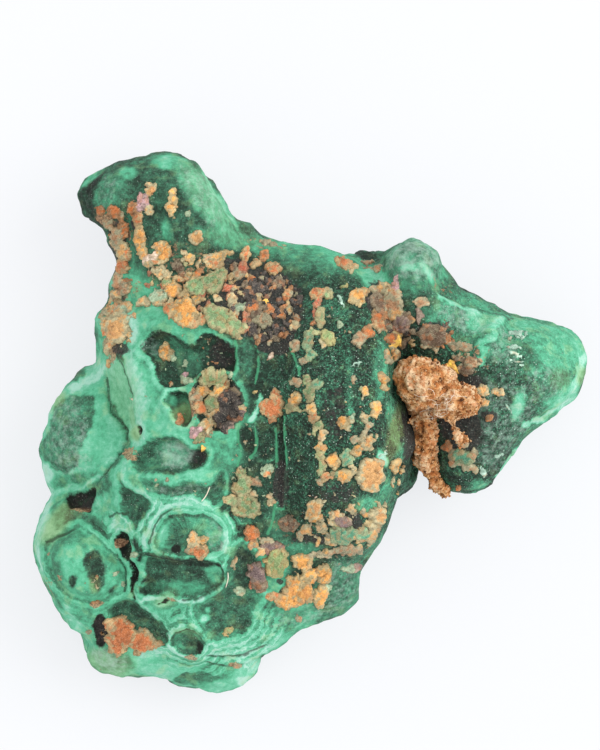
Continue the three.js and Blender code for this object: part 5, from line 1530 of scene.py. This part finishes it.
def sculpt_stone(mesh, settings):
    """Moves every point along its normal, keeps the underside flat, and stores the colour fields."""
    points, normals = read_points(mesh) / MM, read_normals(mesh)
    plan = Plan(points)
    lobes = nodules(points, 3.6, 4)[0]
    upward = smooth(normals[:, 2], 0.12, 0.5) * smooth(points[:, 2], 2.0, 4.0)
    lift = stone_lift(points, plan, upward, lobes, settings.relief)
    moved = points + normals * lift[:, None]
    moved[:, 2] = np.where(points[:, 2] < UNDERSIDE, 0.0, np.maximum(moved[:, 2], 0.0))
    write_points(mesh, moved * MM)
    for name, values in stone_fields(points, normals, plan, upward, lobes).items():
        set_field(mesh, name, values)


def on_underside(mesh):
    return read_points(mesh)[:, 2] < UNDERSIDE * MM


def make_stone(settings):
    stone = merged_copy("malachite_stone", "stone_surface")
    remesh(stone, settings.coarse)
    relax(stone.data, 6, on_underside(stone.data))
    split_upward_faces(stone.data, least_slope=0.18, least_height=3 * MM)
    relax(stone.data, 3, on_underside(stone.data))
    sculpt_stone(stone.data, settings)
    shade_smooth(stone.data)
    stone.data.materials.append(malachite_material(settings))
    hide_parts("malachite_stone")
    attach(stone, BODY)


def strewn_plates(random):
    plates = []
    for pigments, cx, cy, half_length, half_width, degrees, count, size in STREWN:
        c, s = math.cos(math.radians(degrees)), math.sin(math.radians(degrees))
        for _ in range(count):
            reach, angle = math.sqrt(random.uniform()), random.uniform(0, TURN)
            u, v = half_length * reach * math.cos(angle), half_width * reach * math.sin(angle)
            own = size * math.exp(random.normal(0, 0.35))
            plates.append((
                pigments[random.randint(len(pigments))], cx + u * c - v * s, cy + u * s + v * c,
                own, own * random.uniform(0.6, 1.2), random.uniform(0, 180),
            ))
    return plates


class CrustField:
    """Thickness and pigment of the crust over a square grid of plan positions. A plate is an oval with
    a flat, slightly domed top; between plates the thickness is less than the root, and no crust is
    made there. Positions are warped by noise, so that every outline is ragged."""

    def __init__(self, ground, plates, settings, random):
        self.root = settings.sunk / MM
        low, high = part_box("malachite_stone")
        self.pitch = settings.pitch / MM
        self.x = np.arange(low[0] / MM, high[0] / MM, self.pitch)
        self.y = np.arange(low[1] / MM, high[1] / MM, self.pitch)
        x, y = np.meshgrid(self.x, self.y)
        flat = np.stack([x.ravel(), y.ravel(), np.zeros(x.size)], 1)
        warps = (
            0.34 * gradient_noise(flat, 0.9, seed) + 0.16 * gradient_noise(flat, 0.36, seed + 1)
            for seed in (90, 92)
        )
        self.grape, self.pick, middle = nodules(flat, 0.42, 61)
        self.warped_x, self.warped_y = (
            base + warp.reshape(x.shape) + 0.5 * (middle[:, axis].reshape(x.shape) - base)
            for axis, (base, warp) in enumerate(zip((x, y), warps))
        )
        self.thickness = np.full(x.shape, -self.root)
        self.core, self.foot_shade = np.full(x.shape, -1.0), np.zeros(x.shape)
        self.owner = np.zeros(x.shape, int)
        for index, plate in enumerate(plates):
            self.lay(index, plate, settings.thickness / MM, random)
        self.colour(flat, plates, random)
        self.roughen(ground, x, y)

    def lay(self, index, plate, thickness, random):
        """Raises the thickness to a plate's own wherever that is more."""
        cx, cy, half_length, half_width = plate[1:5]
        reach = max(half_length, half_width) + 0.6
        columns = slice(*np.searchsorted(self.x, (cx - reach, cx + reach)))
        rows = slice(*np.searchsorted(self.y, (cy - reach, cy + reach)))
        x, y = self.warped_x[rows, columns], self.warped_y[rows, columns]
        size = min(half_length, half_width)
        sharp = min(size / 0.3, 1.0)
        depth = (1 - np.hypot(*oval_axes(x, y, *plate[1:]))) * size + 0.12 * sharp
        top = thickness * min(max(size / 0.7, 0.45), 1.4) * random.uniform(0.7, 1.3)
        dome = 0.08 * smooth(depth, 0.0, 0.8)
        raised = (top + self.root + dome) * smooth(depth, -0.08 * sharp, 0.12 * sharp) - self.root
        higher = raised > self.thickness[rows, columns]
        self.thickness[rows, columns] = np.where(higher, raised, self.thickness[rows, columns])
        self.core[rows, columns] = np.where(higher, depth, self.core[rows, columns])
        # Rises from 0 at the plate's foot to 1 inside it, and sets where the colour gets its painted
        # shade.
        foot_shade = smooth(depth, -0.04 * sharp, 0.1 * sharp)
        self.foot_shade[rows, columns] = np.where(higher, foot_shade, self.foot_shade[rows, columns])
        self.owner[rows, columns] = np.where(higher, index, self.owner[rows, columns])

    def colour(self, flat, plates, random):
        """Each plate's middle colour turns into its edge colour outward and takes a painted shade at its
        foot and between its granules; each granule has a tint, and a few are rust or take the edge colour."""
        pick = self.pick
        self.speck, second, _ = nodules(flat, 0.24, 62)
        middles = np.array([PIGMENTS[plate[0]][0] for plate in plates])
        edges = np.array([PIGMENTS[plate[0]][1] for plate in plates])
        owner = self.owner.ravel()
        wave = 0.22 * gradient_noise(flat, 0.6, 63)
        core = self.core.ravel()
        inward = smooth(core + wave + 0.4 * (second - 0.5), 0.18, 0.46) * (pick > 0.16)
        tints = random.uniform(0.8, 1.15, len(plates))[owner]
        tint = tints * (0.74 + 0.5 * pick) * (0.8 + 0.4 * second)
        colour = mixed(edges[owner], middles[owner], inward[:, None]) * tint[:, None]
        odd = (pick > 0.86)[:, None]
        colour = np.where(odd, mixed(colour, (0.34, 0.13, 0.05), 0.45), colour)
        # Painted shade: darker between the granules and towards each plate's foot.
        shadow = (0.5 + 0.5 * smooth(self.grape, 0.0, 0.45)) * (0.4 + 0.6 * self.foot_shade.ravel())
        self.pigment = colour * shadow[:, None]

    def roughen(self, ground, x, y):
        """Adds granules, and takes the crust off cliffs and off the table."""
        granules = 0.13 * self.grape + 0.06 * self.speck - 0.10
        inner = smooth(self.core, -0.02, 0.16)
        self.thickness = self.thickness + granules.reshape(x.shape) * inner
        slope = np.hypot(*ground.slopes(x, y))
        self.height = ground.height(x, y)
        self.normals = ground.normal(x, y)
        self.allowed = (slope < STEEPEST_CRUST) & (self.height > LOWEST_CRUST)

    def mesh(self, name):
        """A closed sheet over the cells whose four corners all carry crust."""
        carried = (self.thickness > -0.9 * self.root) & self.allowed
        kept = carried[:-1, :-1] & carried[:-1, 1:] & carried[1:, 1:] & carried[1:, :-1]
        x, y = np.meshgrid(self.x, self.y)
        ground = np.stack([x, y, self.height], -1)
        top = ground + self.normals * self.thickness[..., None]
        bottom = ground - self.normals * (self.root + 0.06)
        points = np.concatenate([top.reshape(-1, 3), bottom.reshape(-1, 3)])
        faces = sheet_faces(kept)
        used, faces = np.unique(faces, return_inverse=True)
        mesh = bpy.data.meshes.new(name)
        mesh.from_pydata(points[used] * MM, [], faces.reshape(-1, 4))
        # The pigment colours carry the painted shade of the plates' feet and the gaps between granules.
        set_colours(mesh, "pigment", np.concatenate([self.pigment, self.pigment])[used])
        return mesh


def make_crust(ground, settings):
    """Every plate of crust, as one piece for each of the record's three crust finishes."""
    random = np.random.RandomState(settings.seed)
    plates = [plate for plates in NODE_PLATES.values() for plate in plates]
    plates += HORN_CRUST + UPPER_CRUST + PIT_CRUST + RIDGE_CRUST + LOWER_CRUST + RIGHT_CRUST
    plates += strewn_plates(random)
    material = crust_material()
    for slot in FINISHES:
        own = [plate for plate in plates if SLOT_OF[plate[0]] == slot]
        mesh = CrustField(ground, own, settings, random).mesh(slot)
        shade_smooth(mesh)
        piece = link_object(slot, mesh)
        mesh.materials.append(material)
        nodes = [node for node, drawn in NODE_PLATES.items() if SLOT_OF[drawn[0][0]] == slot]
        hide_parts(*nodes)
        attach(piece, BODY)


def grain_balls(centres, sizes, random, rows=4, columns=6):
    """Small lumpy balls: a sphere on a grid whose radius is 1 plus a random share at each point."""
    count = len(centres)
    polar = np.linspace(0, math.pi, rows)[None, :, None]
    angle = (np.arange(columns) / columns * TURN)[None, None, :]
    lump = 1 + random.uniform(-0.4, 0.4, (count, rows, columns))
    lump[:, 0], lump[:, -1] = 1, 1
    radius = sizes[:, None, None] * lump
    ball = np.stack([
        radius * np.sin(polar) * np.cos(angle), radius * np.sin(polar) * np.sin(angle),
        radius * np.cos(polar) * np.ones_like(angle),
    ], -1)
    return centres[:, None, None, :] + ball


def swell_filling(mesh, normals):
    """Moves every point along its normal by crumbs and pits, and draws it in at the pinches."""
    points = read_points(mesh) / MM
    crumbs = 0.34 * nodules(points, 1.1, 5)[0] + 0.42 * nodules(points, 0.6, 8)[0]
    crumbs += 0.18 * nodules(points, 0.32, 12)[0]
    pits = 0.50 * layered_noise(points, 1.4, 4, 80)
    lift = crumbs + pits - 0.50
    x, y = points[:, 0], points[:, 1]
    drawn_in = sum(push * soft_oval(x, y, oval, 0.5) for *oval, push in PINCHES)
    write_points(mesh, (points + normals * (lift - drawn_in)[:, None]) * MM)
    # The lift is kept as the raised field, from which the filling's colour paints shade into the recesses
    # and highlight onto the crests.
    set_field(mesh, "raised", 0.37 + 1.15 * lift)


def loose_grains(mesh, normals):
    """One mesh of grains that lie on a mesh's points, picked at random."""
    random = np.random.RandomState(21)
    points = read_points(mesh) / MM
    picks = random.choice(len(points), GRAIN_COUNT, replace=False)
    sizes = GRAIN_RADIUS * np.exp(random.normal(0, 0.4, len(picks)))
    centres = points[picks] + normals[picks] * sizes[:, None] * 0.3
    balls = grain_balls(centres, sizes, random)
    grains = joined_grids(balls * MM, "grains")
    _, rows, columns, _ = balls.shape
    set_field(grains, "raised", np.repeat(random.uniform(0.1, 1.0, len(picks)), rows * columns))
    merge_poles(grains)
    return grains


def make_filling(settings):
    """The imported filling, remeshed and swollen into the stone, pitted by noise and covered in grains."""
    filling = merged_copy("limonite_bridge", "limonite_filling")
    remesh(filling, settings.grain)
    relax(filling.data, 3)
    normals = read_normals(filling.data)
    swell_filling(filling.data, normals)
    grains = loose_grains(filling.data, normals)
    mesh = joined_meshes([filling.data.copy(), grains], "limonite_filling")
    filling.data = mesh
    shade_smooth(mesh)
    mesh.materials.append(filling_material(settings))
    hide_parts("limonite_bridge")
    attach(filling, BODY)


def tube_mesh(path, radius, sides=6):
    """A closed tube: a ring of points across each stretch of the path, shrinking to a point at both
    ends. The path is an array of places in millimetres."""
    along = np.gradient(path, axis=0)
    along /= np.linalg.norm(along, axis=1, keepdims=True)
    across = np.cross(along, (0.31, 0.22, 0.92))
    across /= np.linalg.norm(across, axis=1, keepdims=True)
    other = np.cross(along, across)
    angle = (np.arange(sides) / sides * TURN)[None, :, None]
    taper = np.ones(len(path))
    taper[0] = taper[-1] = 0
    ring = across[:, None] * np.cos(angle) + other[:, None] * np.sin(angle)
    return path[:, None] + ring * (radius * taper)[:, None, None]


def tangled_tubes(ground, random):
    """Threads that curl over the filling."""
    t = np.linspace(0, 1, FIBRE_STEPS)
    for _ in range(TANGLE_COUNT):
        start = np.array(TANGLE_MIDDLE) + random.uniform(-TANGLE_SPREAD, TANGLE_SPREAD, 2)
        heading, bend = random.uniform(0, TURN), random.uniform(-2.6, 2.6)
        length = random.uniform(0.8, 2.2)
        turn = heading + bend * t
        x = start[0] + np.cumsum(np.cos(turn)) * length / FIBRE_STEPS
        y = start[1] + np.cumsum(np.sin(turn)) * length / FIBRE_STEPS
        z = ground.height(x, y) + 0.15 + random.uniform(0.05, 0.4) * np.sin(math.pi * t)
        yield tube_mesh(np.stack([x, y, z], 1), radius=0.022)


def loose_tubes(ground):
    """Thicker threads that arch over the stone."""
    t = np.linspace(0, 1, FIBRE_STEPS)
    for start, end, arch in LOOSE_FIBRES:
        x = start[0] + (end[0] - start[0]) * t + 0.1 * np.sin(4 * t)
        y = start[1] + (end[1] - start[1]) * t
        z = ground.height(x, y) + 0.12 + arch * np.sin(math.pi * t)
        yield tube_mesh(np.stack([x, y, z], 1), radius=0.05)


def make_fibres(ground, filling_ground):
    """Fine threads of dust: a tangle on the filling and two loose ones on the stone."""
    tubes = [*tangled_tubes(filling_ground, np.random.RandomState(5)), *loose_tubes(ground)]
    mesh = joined_grids(np.stack(tubes) * MM, "dust_fibres")
    merge_poles(mesh)
    shade_smooth(mesh)
    fibres = link_object("dust_fibres", mesh)
    mesh.materials.append(fibre_material())
    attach(fibres, BODY)


def make_floor(settings):
    """The table, a hair below the stone."""
    bpy.ops.mesh.primitive_plane_add(size=3.0, location=(0, 0, -0.02 * MM))
    floor = bpy.context.object
    floor.name = "floor"
    floor.data.materials.append(floor_material(settings))


def make_world():
    """Even, faintly blue daylight from all round."""
    world = bpy.data.worlds.new("daylight")
    world.use_nodes = True
    sky = world.node_tree.nodes["Background"].inputs
    sky["Color"].default_value = (0.97, 0.985, 1.0, 1.0)
    sky["Strength"].default_value = 1.45
    bpy.context.scene.world = world


def make_lamp():
    """A soft window to the right, whose light rakes over the relief."""
    target, place = Vector((0, 0, 0.012)), Vector((0.45, 0.12, 0.45))
    light = bpy.data.lights.new("window", "AREA")
    light.size = 0.5
    light.energy = 2.8
    lamp = bpy.data.objects.new("window", light)
    lamp.location = place
    lamp.rotation_euler = (target - place).to_track_quat("-Z", "Y").to_euler()
    bpy.context.scene.collection.objects.link(lamp)


def make_camera(settings):
    """A long lens that looks straight down."""
    scene = bpy.context.scene
    camera = bpy.data.cameras.new("camera")
    camera.lens = 262
    camera.clip_start = 0.01
    viewer = bpy.data.objects.new("camera", camera)
    viewer.location = (-0.93 * MM, 5.04 * MM, settings.distance)
    scene.collection.objects.link(viewer)
    scene.camera = viewer


def make_stage(settings):
    """Floor, light and the camera straight above."""
    make_floor(settings)
    make_world()
    make_lamp()
    make_camera(settings)
    bpy.context.scene.view_settings.view_transform = "Standard"


# ---- Operators and panel ----

class MALACHITE_OT_stage(bpy.types.Operator):
    """Floor, lights and camera"""
    bl_idname = "malachite.stage"
    bl_label = "Stage"

    def execute(self, context):
        make_stage(context.scene.malachite_stage)
        return {"FINISHED"}


class MALACHITE_OT_stone(bpy.types.Operator):
    """The green stone with its rings, hollows and terraces"""
    bl_idname = "malachite.stone"
    bl_label = "Stone"

    def execute(self, context):
        make_stone(context.scene.malachite_stone)
        return {"FINISHED"}


class MALACHITE_OT_filling(bpy.types.Operator):
    """The crumbly brown filling of the cleft"""
    bl_idname = "malachite.filling"
    bl_label = "Filling"

    def execute(self, context):
        make_filling(context.scene.malachite_filling)
        return {"FINISHED"}


class MALACHITE_OT_crust(bpy.types.Operator):
    """Plates and crumbs of crust, laid on the stone"""
    bl_idname = "malachite.crust"
    bl_label = "Crust"

    def execute(self, context):
        ground = Ground(bpy.data.objects["stone_surface"])
        make_crust(ground, context.scene.malachite_crust)
        return {"FINISHED"}


class MALACHITE_OT_fibres(bpy.types.Operator):
    """Fine threads of dust"""
    bl_idname = "malachite.fibres"
    bl_label = "Dust fibres"

    def execute(self, context):
        ground, filling_ground = (
            Ground(bpy.data.objects[name]) for name in ("stone_surface", "limonite_filling")
        )
        make_fibres(ground, filling_ground)
        return {"FINISHED"}


class MALACHITE_PT_panel(bpy.types.Panel):
    """Lists the pieces of the specimen"""
    bl_label = "Malachite specimen"
    bl_idname = "MALACHITE_PT_panel"
    bl_space_type = "VIEW_3D"
    bl_region_type = "UI"
    bl_category = "Malachite"

    def draw(self, context):
        for operator in OPERATORS:
            self.layout.operator(operator.bl_idname)
        for name in SETTINGS:
            box = self.layout.box()
            group = getattr(context.scene, name)
            for key in group.bl_rna.properties.keys():
                if key not in ("rna_type", "name"):
                    box.prop(group, key)


OPERATORS = (
    MALACHITE_OT_stage, MALACHITE_OT_stone, MALACHITE_OT_filling, MALACHITE_OT_crust, MALACHITE_OT_fibres,
)
SETTINGS = {
    "malachite_stage": MalachiteStageSettings,
    "malachite_stone": MalachiteStoneSettings,
    "malachite_filling": MalachiteFillingSettings,
    "malachite_crust": MalachiteCrustSettings,
}


def register():
    for group in SETTINGS.values():
        bpy.utils.register_class(group)
    for name, group in SETTINGS.items():
        setattr(bpy.types.Scene, name, bpy.props.PointerProperty(type=group))
    for operator in OPERATORS:
        bpy.utils.register_class(operator)
    bpy.utils.register_class(MALACHITE_PT_panel)


def unregister():
    bpy.utils.unregister_class(MALACHITE_PT_panel)
    for operator in reversed(OPERATORS):
        bpy.utils.unregister_class(operator)
    for name, group in SETTINGS.items():
        delattr(bpy.types.Scene, name)
        bpy.utils.unregister_class(group)


def main():
    register()
    bpy.ops.malachite.stage()
    bpy.ops.malachite.stone()
    bpy.ops.malachite.filling()
    bpy.ops.malachite.crust()
    bpy.ops.malachite.fibres()


if __name__ == "__main__":
    main()
